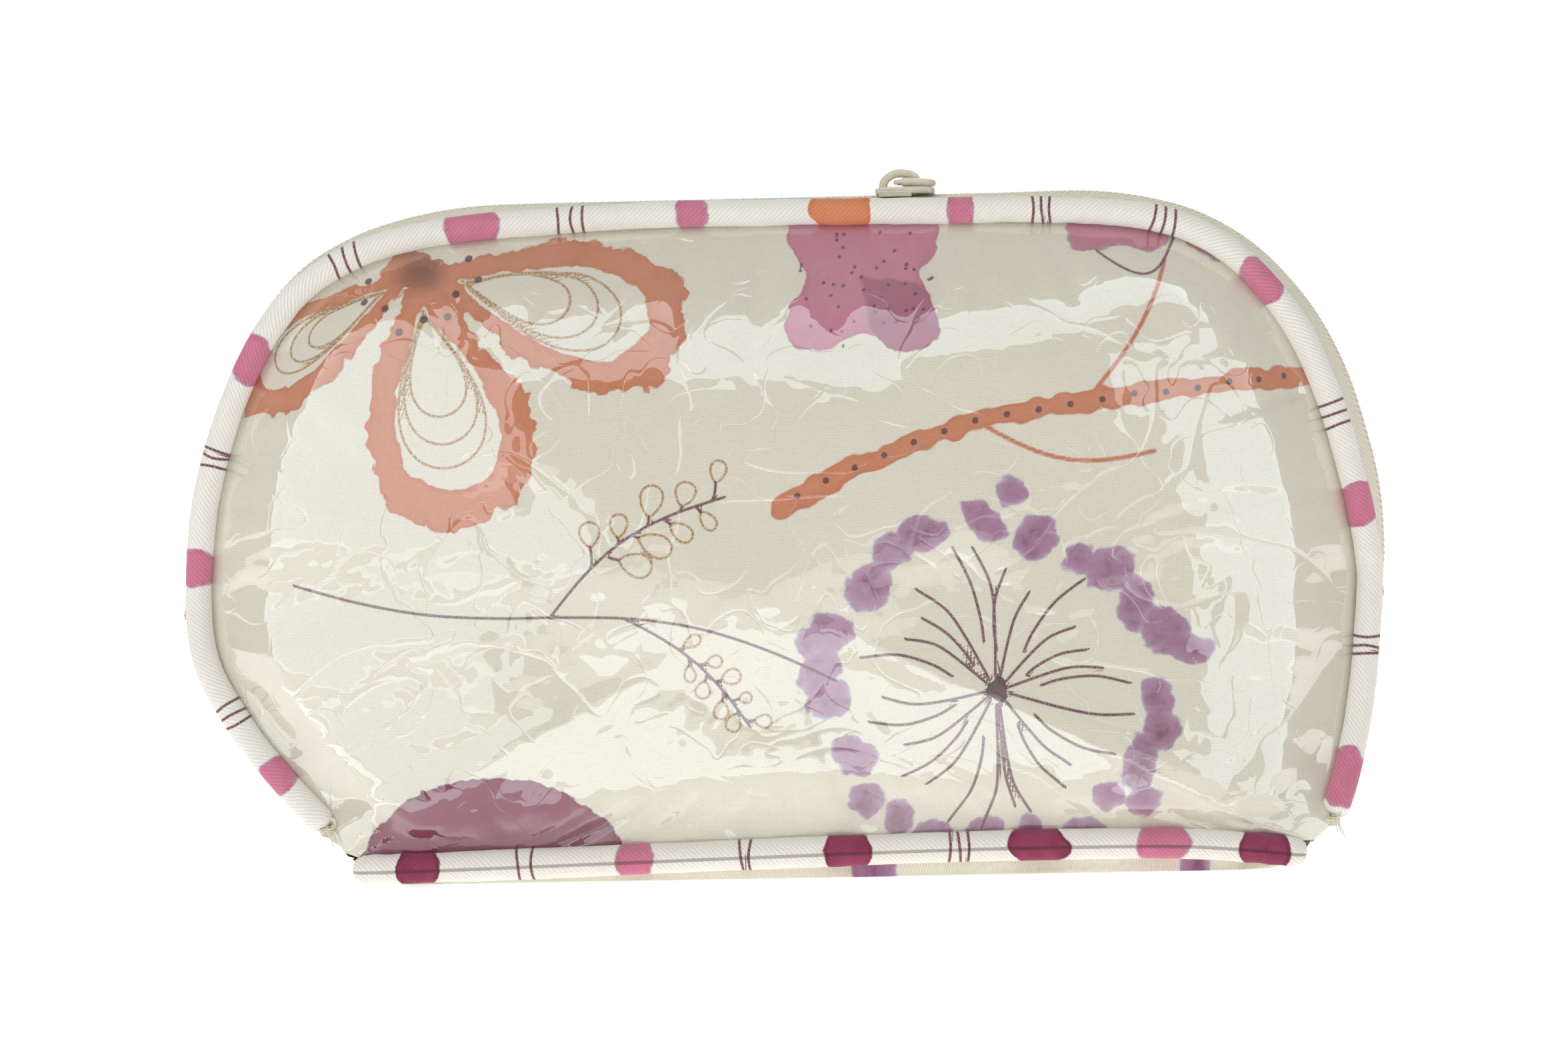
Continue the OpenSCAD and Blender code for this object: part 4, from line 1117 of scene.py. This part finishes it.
def coil_piece(name, side):
    """The zip's coil: heads that meet in the middle, and the turns under the tape."""
    total_u, L = by_length(mid, R_FOLD + 0.05, L_FOLD - 0.05, 2)
    pitch = 1.27
    n = int(L[-1] / pitch)
    u, L = by_length(mid, R_FOLD + 0.05, L_FOLD - 0.05, n * 2 + 1)
    sel = np.arange(0 if side < 0 else 1, n * 2, 2)
    uu = u[sel]
    m_, t = mid(uu), along(mid, uu)
    nrm = out_of(t)
    vb, fb = ball(5, 8)
    parts = []
    for i in range(len(uu)):
        c = m_[i] - nrm[i] * 0.12 + np.array([0, side * 0.42, 0])
        v = c + vb[:, 0:1] * t[i] * 0.52 + vb[:, 1:2] * np.array([0, 1.0, 0]) * 0.95 + vb[:, 2:3] * nrm[i] * 0.42
        parts.append((v, fb))
    # turns below
    k, turns = 12, len(uu)
    a = np.linspace(0, turns * 2 * math.pi, turns * k)
    ua = np.interp(a / (2 * math.pi), np.arange(turns), uu)
    mm, tt = mid(ua), along(mid, ua)
    nn = out_of(tt)
    seam_p = seam(ua, side) + out_of(along(seam, ua, side)) * 0.35
    cy, cz = 1.95 + 1.1 * np.cos(a), 0.82 * np.sin(a)
    T = 1 - (cy - 0.32) / (ZIP_HALF - 1.6 - 0.32)
    line = seam_p + (mm - seam_p) * np.power(T, 0.8)[:, None] - nn * (1.75 - cz)[:, None]
    line[:, 1] = side * cy
    d = unit(np.gradient(line, axis=0))
    e1 = unit(np.cross(d, nn))
    e2 = np.cross(d, e1)
    ring, _ = tube(line, (e1, e2), 0.30, 5)
    R = ring.reshape(-1, 3)
    m = len(line)
    i, j = np.meshgrid(np.arange(m - 1), np.arange(5), indexing="ij")
    i, j = i.ravel(), j.ravel()
    jn = (j + 1) % 5
    parts.append((R, np.stack([i * 5 + j, i * 5 + jn, (i + 1) * 5 + jn, (i + 1) * 5 + j], 1).tolist()))
    return soup(name, parts, M_COIL)


front_coil = coil_piece("front_coil", -1)
back_coil = coil_piece("back_coil", 1)


# ------------------------------------------------------------------ sides and base
def gusset_surface(u, T, off):
    s = at(S, u)
    p = np.stack([s[:, 0], 0 * s[:, 0], s[:, 1]], 1)
    m_ = mid(u)
    nrm = out_of(along(mid, u))
    w = smooth01((np.minimum(u, LAST - u) - 0.7) / 0.6)
    y = (half_depth(s[:, 4]) - 1.7 * w + 0.25 * (1 - w))[:, None] * T[None]
    g = np.power(np.maximum(1 - T * T, 0), 0.8)
    q = p[:, None] + (m_ - p)[:, None] * g[None, :, None] + nrm[:, None] * off[..., None]
    q[..., 1] = y
    return q


def gusset_piece(name, u0, u1, right, lining=False, seed=50):
    n, k = (110, 100) if not lining else (60, 48)
    u, L = by_length(mid, u0, u1, n)
    T = np.sin(np.linspace(-math.pi / 2, math.pi / 2, k))
    LL, TT = np.meshgrid(L, T, indexing="ij")
    h = half_depth(at(S, u)[:, 4])[:, None] * TT
    off = -0.1 + (0.45 * fbm(LL / 16, h / 12, seed, 2) + 0.25 * (1 - np.abs(noise2(LL / 3.2, h / 30, seed + 1))) * np.abs(TT) ** 2) * (1 - TT ** 8)
    if lining:
        off = off * 0.6 - 1.7
    P = gusset_surface(u, T, off)
    attrs = {"fab": np.stack([h, LL, 0 * LL], -1).reshape(-1, 3)}
    if not lining:
        U, V = to_uv((h if right else -h) + (62 if right else -58), LL + (34 if right else 58))
        attrs.update(print_fields(U, V))
    if lining != False:
        P = P[:, ::-1]
        attrs = {kk: vv.reshape(n, k, 3)[:, ::-1].reshape(-1, 3) for kk, vv in attrs.items()}
    return grid_mesh(name, P, M_LINING if lining else M_PRINT, attrs=attrs)


right_side = gusset_piece("right_side_fabric", 0.0, R_FOLD + 0.03, True)
left_side = gusset_piece("left_side_fabric", L_FOLD - 0.03, LAST, False, seed=53)
right_side_lining = gusset_piece("right_side_lining", 0.06, R_FOLD + 0.03, True, True)
left_side_lining = gusset_piece("left_side_lining", L_FOLD - 0.03, LAST - 0.06, False, True, 53)

SOLE = np.array([[-76, -24], [-72, -26], [-40, -26.4], [0, -26.6], [40, -26.4], [90, -26], [95, -24], [97, -20], [97, 0], [97, 20], [95, 24], [90, 26], [40, 26.4], [0, 26.6], [-40, 26.4], [-72, 26], [-76, 24], [-78, 20], [-78, 0], [-78, -20]], float)
RIM_Z = np.array([1.4, 1.6, 2.2, 3.2, 3.6, 2.2, 1.6, 1.2, 1, 1.2, 1.6, 2.2, 3.6, 3.2, 2.2, 1.6, 1.4, 1.2, 1, 1.2])
RIM_XY = np.array([[-79, -25.2], [-73, -26.4], [-40, -27.2], [0, -27.6], [40, -27.4], [91, -26.2], [97.5, -25], [100.4, -20.5], [100.8, 0], [100.4, 20.5], [97.5, 25], [91, 26.2], [40, 27.4], [0, 27.6], [-40, 27.2], [-73, 26.4], [-79, 25.2], [-81.6, 20.5], [-82, 0], [-81.6, -20.5]], float)


TOP = np.array([[-81.5, -27.4, 4.6], [-74, -28.2, 4.0], [-40, -29.2, 4.8], [0, -29.8, 5.6], [40, -29.6, 6.2], [90, -28.4, 5.0], [99, -27.6, 4.6], [101.9, -24, 4.6], [102.5, 0, 3.4],
                [101.9, 24, 4.6], [99, 27.6, 4.6], [90, 28.4, 5.0], [40, 29.6, 6.2], [0, 29.8, 5.6], [-40, 29.2, 4.8], [-74, 28.2, 4.0], [-81.5, 27.4, 4.6], [-83.3, 24, 5.0], [-83.1, 0, 3.9], [-83.3, -24, 5.0]], float)
INNER = np.array([[x * 0.988, math.copysign(abs(y) - 1.3, y) if y else 0.0, z + 3.4] for x, y, z in TOP])


def around(tab, n):
    tab = np.concatenate([tab, tab[:1]])
    s = np.concatenate([[0], np.cumsum(np.linalg.norm(np.diff(SOLE[list(range(len(SOLE))) + [0]], axis=0), axis=1))])
    t = np.linspace(0, s[-1], n, endpoint=False)
    return np.stack([np.interp(t, s, tab[:, k]) for k in range(tab.shape[1])], 1)


def base_piece(name, lining=False):
    n = 420 if not lining else 160
    sole, rim = around(SOLE, n), around(np.concatenate([RIM_XY, RIM_Z[:, None]], 1), n)
    rings = []
    up = 0.0 if not lining else 1.5
    for f in np.linspace(0.02, 1.0, 60 if not lining else 24):
        xy = sole * f
        z = up + 0.35 * (1 - f ** 10) * (0.5 + 0.5 * fbm(xy[:, 0] / 30, xy[:, 1] / 22, 61, 2)) + (0.10 * np.clip(fbm(xy[:, 0] / 12, xy[:, 1] / 10, 63, 2), 0, 1) if not lining else 0)
        z = z * (1 - f ** 14) if not lining else z
        rings.append(np.stack([xy[:, 0], xy[:, 1], z], 1))
    if not lining:
        for w in np.linspace(0.15, 1.0, 8):
            xy = sole + (rim[:, :2] - sole) * w
            z = rim[:, 2] * w ** 1.5 + 0.25 * fbm(xy[:, 0] / 7, xy[:, 1] / 7, 64, 2) * w
            rings.append(np.stack([xy[:, 0], xy[:, 1], np.maximum(z, 0.02)], 1))
        edge, last = around(TOP, n), rings[-1].copy()
        for w in np.linspace(0.25, 1.0, 4):
            rings.append(last + (edge - last) * w)
    else:
        edge, last = around(INNER, n), rings[-1].copy()
        for w in np.linspace(0.2, 1.0, 5):
            q = last + (edge - last) * w
            q[:, 2] = last[:, 2] + (edge[:, 2] - last[:, 2]) * w ** 1.4
            rings.append(q)
    P = np.array(rings)
    if not lining:
        P = P[:, ::-1]
    fab = np.stack([P[..., 0], P[..., 1], 0 * P[..., 0]], -1).reshape(-1, 3)
    attrs = {"fab": fab}
    if not lining:
        U, V = to_uv(P[..., 0] - 8, P[..., 1] + 62)
        attrs.update(print_fields(U, V))
        attrs["ln1"] = attrs["ln1"] * 0 + FAR
        attrs["ln2"] = attrs["ln2"] * 0 + FAR
        attrs["pr3"][:, 1] = FAR
    return grid_mesh(name, P, M_LINING if lining else M_PRINT, wrap_j=True, attrs=attrs)


base_fabric = base_piece("base_fabric")
base_inner = base_piece("base_inner", True)


# ------------------------------------------------------------------ thread tacks
def thread(pts, r=0.16, k=6):
    p = smooth_loop3(pts, 8)
    t = unit(np.gradient(p, axis=0))
    ref = np.array([0.3, 0.5, 0.81])
    a = unit(np.cross(t, ref))
    b = np.cross(t, a)
    ring, _ = tube(p, (a, b), r, k)
    m = len(p)
    i, j = np.meshgrid(np.arange(m - 1), np.arange(k), indexing="ij")
    i, j = i.ravel(), j.ravel()
    jn = (j + 1) % k
    f = np.stack([i * k + j, i * k + jn, (i + 1) * k + jn, (i + 1) * k + j], 1).tolist()
    f += [list(range(k - 1, -1, -1)), [(m - 1) * k + q for q in range(k)]]
    return ring.reshape(-1, 3), f


def smooth_loop3(pts, k):
    p = np.array(pts, float)
    out = []
    for i in range(len(p) - 1):
        a, b, c, d = p[max(i - 1, 0)], p[i], p[i + 1], p[min(i + 2, len(p) - 1)]
        for t in np.arange(k) / k:
            out.append(0.5 * (2 * b + (c - a) * t + (2 * a - 5 * b + 4 * c - d) * t * t + (3 * b - a - 3 * c + d) * t ** 3))
    out.append(p[-1])
    return np.array(out)


rnd = np.random.RandomState(4)
parts = []
for side in (-1, 1):
    for u in (0.94, LAST - 0.94):
        c = seam(u, side)[0]
        for q in range(7):
            ph = q * 0.9 + rnd.uniform(0, 0.4)
            loop = [c + np.array([1.5 * math.cos(w + ph), side * 1.3 * math.sin(w * 1.0) - side * 0.2, (q - 3) * 0.42 + 0.7 * math.sin(w + ph)]) for w in np.linspace(0, 2 * math.pi, 9)]
            parts.append(thread(loop, 0.17))
        if side < 0:
            for q in range(3):
                e = c + np.array([rnd.uniform(-0.5, 1.2), -1.0, -0.5])
                parts.append(thread([e, e + np.array([0.9, -0.6, -1.0]), e + np.array([1.3 + q * 0.3, -0.8, -2.4 - q * 0.5])], 0.13))
corner_threads = soup("corner_threads", parts, M_THREAD)
parts = []
for u, s in ((R_FOLD - 0.12, 1), (L_FOLD + 0.12, -1)):
    c = mid(u)[0]
    for q in range(9):
        z = c[2] - 0.9 + 0.22 * q
        loop = [np.array([c[0] + s * (0.35 - 0.010 * y * y) + s * 0.12 * math.sin(y * 2 + q), y, z + 0.10 * math.sin(y * 1.3 + q)]) for y in np.linspace(-4.5, 4.5, 7)]
        parts.append(thread(loop, 0.17))
zip_end_threads = soup("zip_end_threads", parts, M_THREAD)


# ------------------------------------------------------------------ slider and pull
def extrude_outline(name, outline, z0, z1, mat, bevel, segs=3, axis="z"):
    n = len(outline)
    o = np.array(outline, float)
    if axis == "z":
        v = [(x, y, z0) for x, y in o] + [(x, y, z1) for x, y in o]
    else:
        v = [(x, z0, y) for x, y in o] + [(x, z1, y) for x, y in o]
    f = [list(range(n)), [n + i for i in range(n - 1, -1, -1)]] + [[i, n + i, n + (i + 1) % n, (i + 1) % n] for i in range(n)]
    me = bpy.data.meshes.new(name)
    me.from_pydata([tuple(c * 0.001 for c in p) for p in v], [], f)
    import bmesh
    bm = bmesh.new()
    bm.from_mesh(me)
    bmesh.ops.recalc_face_normals(bm, faces=bm.faces)
    if bevel:
        sharp = [e for e in bm.edges if len(e.link_faces) == 2 and e.calc_face_angle(0) > 0.5]
        bmesh.ops.bevel(bm, geom=sharp, offset=bevel * 0.001, segments=segs, profile=0.6, affect="EDGES", clamp_overlap=True)
    bmesh.ops.triangulate(bm, faces=[f for f in bm.faces if len(f.verts) > 4])
    bm.to_mesh(me)
    bm.free()
    me.polygons.foreach_set("use_smooth", [True] * len(me.polygons))
    ob = link(bpy.data.objects.new(name, me))
    ob.data.materials.append(mat)
    return ob


def join(name, obs):
    vs, fs, k = [], [], 0
    for o in obs:
        mw = np.array(o.matrix_world)
        v = np.array([q.co for q in o.data.vertices])
        vs.append(v)
        fs += [[a + k for a in p.vertices] for p in o.data.polygons]
        k += len(v)
    me = bpy.data.meshes.new(name)
    me.from_pydata(np.concatenate(vs).tolist(), [], fs)
    me.polygons.foreach_set("use_smooth", [True] * len(me.polygons))
    mat = obs[0].data.materials[0]
    for o in obs:
        bpy.data.objects.remove(o)
    out = link(bpy.data.objects.new(name, me))
    out.data.materials.append(mat)
    mod = out.modifiers.new("wn", "WEIGHTED_NORMAL")
    mod.keep_sharp = False
    return out


def rod(path, rx, rz, k=14):
    """A bar of oval section along a path in the XZ plane; rx across Y, rz in the plane."""
    p = np.array(path, float)
    t = unit(np.gradient(p, axis=0))
    b = np.array([0, 1.0, 0])
    a = unit(np.cross(b, t))
    ang = np.arange(k) * 2 * math.pi / k
    c, s = np.sign(np.cos(ang)) * np.abs(np.cos(ang)) ** 0.75, np.sign(np.sin(ang)) * np.abs(np.sin(ang)) ** 0.75
    ring = p[:, None] + rz * c[None, :, None] * a[:, None] + rx * s[None, :, None] * b
    m = len(p)
    i, j = np.meshgrid(np.arange(m - 1), np.arange(k), indexing="ij")
    i, j = i.ravel(), j.ravel()
    jn = (j + 1) % k
    f = np.stack([i * k + j, (i + 1) * k + j, (i + 1) * k + jn, i * k + jn], 1).tolist()
    f += [list(range(k)), [(m - 1) * k + q for q in range(k - 1, -1, -1)]]
    return ring.reshape(-1, 3), f


PLATE_Z = RAIL_Z + 0.3
PLATE_T = 1.4
SX = SLIDER_X


def outline_pts(w1, w2, ln=11.8, n=10):
    h = ln / 2
    left = [(-h + 1.1 + 1.1 * math.cos(a), -w2 / 2 + 1.1 + 1.1 * math.sin(a)) for a in np.linspace(math.pi, 1.5 * math.pi, n)]
    right = [(h - 1.8 + 1.8 * math.cos(a), -w1 / 2 + 1.8 + 1.8 * math.sin(a)) for a in np.linspace(1.5 * math.pi, 2 * math.pi, n)]
    low = left + [(-1, -w2 / 2 - 0.05), (1.0, -w2 / 2 - 0.25), (2.6, -w1 / 2 + 0.02)] + right
    return low + [(x, -y) for x, y in reversed(low)]


def moved(ob, dx, dz=0.0):
    ob.data.transform(Matrix.Translation((dx * 0.001, 0, dz * 0.001)))
    return ob


pieces_ = [moved(extrude_outline("s1", outline_pts(9.0, 7.6), PLATE_Z, PLATE_Z + PLATE_T - 0.25, M_METAL, 0.32), SX)]
pieces_.append(moved(extrude_outline("s2", [(x * 0.86 - 0.3, y * 0.80) for x, y in outline_pts(9.0, 7.6)], PLATE_Z + PLATE_T - 0.35, PLATE_Z + PLATE_T, M_METAL, 0.22), SX))
pieces_.append(moved(extrude_outline("s3", [(-5.2, -4.05), (0.9, -4.15), (1.3, -3.95), (1.3, -3.35), (-5.2, -3.3)], PLATE_Z - 0.55, PLATE_Z + 0.5, M_METAL, 0.18), SX))
under = 132.6 - 0.6 - 0.05 - 2.1 - 1.15
pieces_.append(moved(extrude_outline("s4", [(-5.3, -4.4), (5.3, -4.4), (5.3, 0.5), (-5.3, 0.5)], under - 1.2, under, M_METAL, 0.3), SX))
pieces_.append(moved(extrude_outline("s5", [(-5.3, -4.4), (3.1, -4.4), (3.1, -3.75), (-5.3, -3.75)], under - 0.3, under + 1.3, M_METAL, 0.2), SX))
pieces_.append(moved(extrude_outline("s6", [(2, -0.5), (4.8, -0.35), (4.8, 0.35), (2, 0.5)], under - 0.2, PLATE_Z + 0.2, M_METAL, 0.12), SX))
top = PLATE_Z + PLATE_T
arch = [(-4.3, 0, top - 0.3), (-4.3, 0, top + 0.5), (-3.95, 0, top + 1.4), (-3.1, 0, top + 2.2), (-1.9, 0, top + 2.72), (-0.4, 0, top + 2.8), (1.0, 0, top + 2.55), (2.0, 0, top + 1.95), (2.4, 0, top + 1.1), (2.45, 0, top - 0.3)]
arch = smooth_loop3([(SX + x, y, z) for x, y, z in arch], 7)
v, f = rod(arch, 1.0, 0.85)
pieces_.append(soup("s7", [(v, f)], M_METAL))
slider = join("slider_metal", pieces_)

px, pz = SX - 1.5, PLATE_Z + 2.4
tilt = math.radians(-2)


def pull_pt(d, y, h=0.0):
    return (px + d * math.cos(tilt) - h * math.sin(tilt), y, pz + d * math.sin(tilt) + h * math.cos(tilt))


ring_path = [(0.0, 2.05, 0)] + [(2.0, 2.1, 0.12), (4.4, 2.05, 0.05), (5.9, 1.75, 0), (6.75, 0.95, 0), (6.9, 0, 0), (6.75, -0.95, 0), (5.9, -1.75, 0), (4.4, -2.05, 0.05), (2.0, -2.1, 0.12), (0.0, -2.05, 0)]
rp = smooth_loop3([(x, y, z) for x, y, z in ring_path], 6)
rp = np.concatenate([rp, [[-0.25, -1.5, 0], [-0.3, -0.6, 0], [-0.3, 0.6, 0], [-0.25, 1.5, 0]]])
pts = np.array([pull_pt(x, y, h) for x, y, h in rp])
m = len(pts)
t = unit(np.roll(pts, -1, 0) - np.roll(pts, 1, 0))
nz = np.array([-math.sin(tilt), 0, math.cos(tilt)])
sideways = unit(np.cross(t, nz))
k = 12
ang = np.arange(k) * 2 * math.pi / k
w = np.where(rp[:, 0] > 1.0, 0.80, 0.5)
hgt = np.where(rp[:, 0] > 1.0, 0.80, 0.5)
ringv = pts[:, None] + (w[:, None] * np.cos(ang)[None])[..., None] * sideways[:, None] + (hgt[:, None] * np.sin(ang)[None])[..., None] * nz
i, j = np.meshgrid(np.arange(m), np.arange(k), indexing="ij")
i, j = i.ravel(), j.ravel()
f = np.stack([i * k + j, i * k + (j + 1) % k, ((i + 1) % m) * k + (j + 1) % k, ((i + 1) % m) * k + j], 1).tolist()
pull = soup("pull_metal", [(ringv.reshape(-1, 3), f)], M_METAL)

# ------------------------------------------------------------------ ride, blend, replace
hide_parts("front_panel_upper", "front_panel_lower")
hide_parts("front_film_upper", "front_film_lower")
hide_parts("front_lining_upper", "front_lining_lower")
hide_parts("front_piping", "front_piping_ends")
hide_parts("front_piping_cord", "front_piping_end_cords")
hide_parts("front_zip_tape")
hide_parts("front_zip_coil")
for o in (front_fabric, front_film, front_lining, front_pipe, front_cord, front_tape, front_coil):
    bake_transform(o)
for o, nodes in ((back_fabric, ["back_panel"]), (back_film, ["back_film"]), (back_lining, ["back_lining"]), (back_pipe, ["back_piping"]), (back_cord, ["back_piping_cord"]),
                 (front_foot, ["front_foot_piping"]), (back_foot, ["back_foot_piping"]), (front_foot_filler, ["front_foot_cord"]), (back_foot_filler, ["back_foot_cord"]),
                 (back_tape, ["back_zip_tape"]), (back_coil, ["back_zip_coil"]), (right_side, ["right_gusset"]), (left_side, ["left_gusset"]),
                 (right_side_lining, ["right_gusset_lining"]), (left_side_lining, ["left_gusset_lining"]), (base_fabric, ["base_panel"]), (base_inner, ["base_lining"]),
                 (corner_threads, ["corner_tacks"]), (zip_end_threads, ["zip_end_tacks"])):
    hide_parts(*nodes)
    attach(o, "shell")
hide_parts("slider_body")
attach(slider, "slider")
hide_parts("pull_ring")
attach(pull, "pull")

# ------------------------------------------------------------------ the cloths' flat sizes
def flat_of(poly):
    """(width, length) and area of a flat outline in mm, in metres."""
    x, y = poly[:, 0], poly[:, 1]
    area = abs(float((x * np.roll(y, -1) - np.roll(x, -1) * y).sum())) / 2
    return (float(np.ptp(y)) * 0.001, float(np.ptp(x)) * 0.001), area * 1e-6


def strip_of(u0, u1):
    """A side piece's flat outline: its length along the seam, and its width from the depth there."""
    u, L = by_length(mid, u0, u1, 120)
    h = half_depth(at(S, u)[:, 4])
    return np.concatenate([np.stack([L, h], 1), np.stack([L, -h], 1)[::-1]])


right_cut, left_cut = flat_of(strip_of(0.0, R_FOLD + 0.03)), flat_of(strip_of(L_FOLD - 0.03, LAST))
tape_u, tape_l = by_length(mid, R_FOLD + 0.03, L_FOLD - 0.03, 200)
# ------------------------------------------------------------------ floor, light, camera
me = bpy.data.meshes.new("floor")
me.from_pydata([(-6, -6, 0), (6, -6, 0), (6, 6, 0), (-6, 6, 0)], [], [(0, 1, 2, 3)])
floor = link(bpy.data.objects.new("floor", me))
nf = Nodes("pale_floor")
pf = nf.new("ShaderNodeBsdfPrincipled")
tcf = nf.new("ShaderNodeTexCoord")
nf.set(pf.inputs["Base Color"], nf.mix(nf.noise(tcf.outputs["Object"], 3.0, 2.0), (0.93, 0.93, 0.93, 1), (0.91, 0.91, 0.91, 1)))
pf.inputs["Roughness"].default_value = 0.9
pf.inputs["Specular IOR Level"].default_value = 0.1
pf.inputs["Emission Color"].default_value = (1, 1, 1, 1)
pf.inputs["Emission Strength"].default_value = 0.70
nf.t.links.new(pf.outputs[0], nf.out.inputs["Surface"])
floor.data.materials.append(nf.mat)

world = bpy.data.worlds.new("studio")
bpy.context.scene.world = world
world.use_nodes = True
wt = world.node_tree
wt.nodes.clear()
wo = wt.nodes.new("ShaderNodeOutputWorld")
bg1, bg2 = wt.nodes.new("ShaderNodeBackground"), wt.nodes.new("ShaderNodeBackground")
bg1.inputs[0].default_value = (0.5, 0.505, 0.515, 1)
bg2.inputs[0].default_value = (1, 1, 1, 1)
bg1.inputs[1].default_value = 0.70
bg2.inputs[1].default_value = 1.05
lp = wt.nodes.new("ShaderNodeLightPath")
ms = wt.nodes.new("ShaderNodeMixShader")
wt.links.new(lp.outputs["Is Camera Ray"], ms.inputs[0])
wt.links.new(bg1.outputs[0], ms.inputs[1])
wt.links.new(bg2.outputs[0], ms.inputs[2])
wt.links.new(ms.outputs[0], wo.inputs[0])


def softbox(name, loc, target, w, h, power):
    d = bpy.data.lights.new(name, "AREA")
    d.shape = "RECTANGLE"
    d.size, d.size_y = w, h
    d.energy = power
    o = link(bpy.data.objects.new(name, d))
    o.location = loc
    o.rotation_mode = "QUATERNION"
    o.rotation_quaternion = (Vector(target) - Vector(loc)).to_track_quat("-Z", "Y")
    return o


C = (0, 0, 0.07)


def key(name, loc, w, h, power):
    o = softbox(name, loc, C, w, h, power)
    o.visible_glossy = False
    o.visible_camera = False
    return o


def shine(name, loc, w, h, glow, target=C):
    """A softbox that only the gloss sees, as bright as glow."""
    o = softbox(name, loc, target, w, h, glow * math.pi * w * h)
    o.data.color = (0.80, 0.92, 1.0)
    o.visible_diffuse = False
    o.visible_camera = False
    return o


key("key_left", (-1.15, -0.75, 1.15), 0.6, 0.6, 8.8)
key("key_right", (1.2, -0.9, 0.7), 0.9, 0.9, 3.2)
key("key_top", (0.1, 0.1, 1.6), 1.2, 1.0, 6.0)
key("key_back", (0.2, 1.3, 0.8), 1.2, 0.8, 4.0)
shine("shine_left", (-0.92, -1.25, 0.50), 1.15, 1.15, 2.0)
shine("shine_right", (1.05, -1.05, 0.30), 0.75, 0.75, 2.3)
shine("shine_top", (0.25, -0.95, 1.05), 1.5, 0.55, 2.2)
shine("shine_low", (-0.05, -0.26, 0.002), 0.34, 0.36, 2.1, (-0.05, -0.26, 1.0))
shine("shine_back", (0.0, 1.5, 0.6), 1.2, 0.8, 4.0)

cam_data = bpy.data.cameras.new("camera")
cam_data.lens = 100
cam_data.sensor_width = 36
cam_data.clip_start, cam_data.clip_end = 0.02, 60
cam = link(bpy.data.objects.new("camera", cam_data))
AZ, EL, ROLL, DIST = math.radians(2.0), math.radians(1.6), math.radians(1.25), 0.868
target = Vector((0.0015, 0, 0.0682))
back = Vector((math.sin(AZ) * math.cos(EL), -math.cos(AZ) * math.cos(EL), math.sin(EL)))
cam.location = target + back * DIST
cam.rotation_mode = "QUATERNION"
q = (-back).to_track_quat("-Z", "Y")
from mathutils import Quaternion
cam.rotation_quaternion = q @ Quaternion((0, 0, 1), -ROLL)
bpy.context.scene.camera = cam
bpy.context.scene.view_settings.view_transform = "Standard"
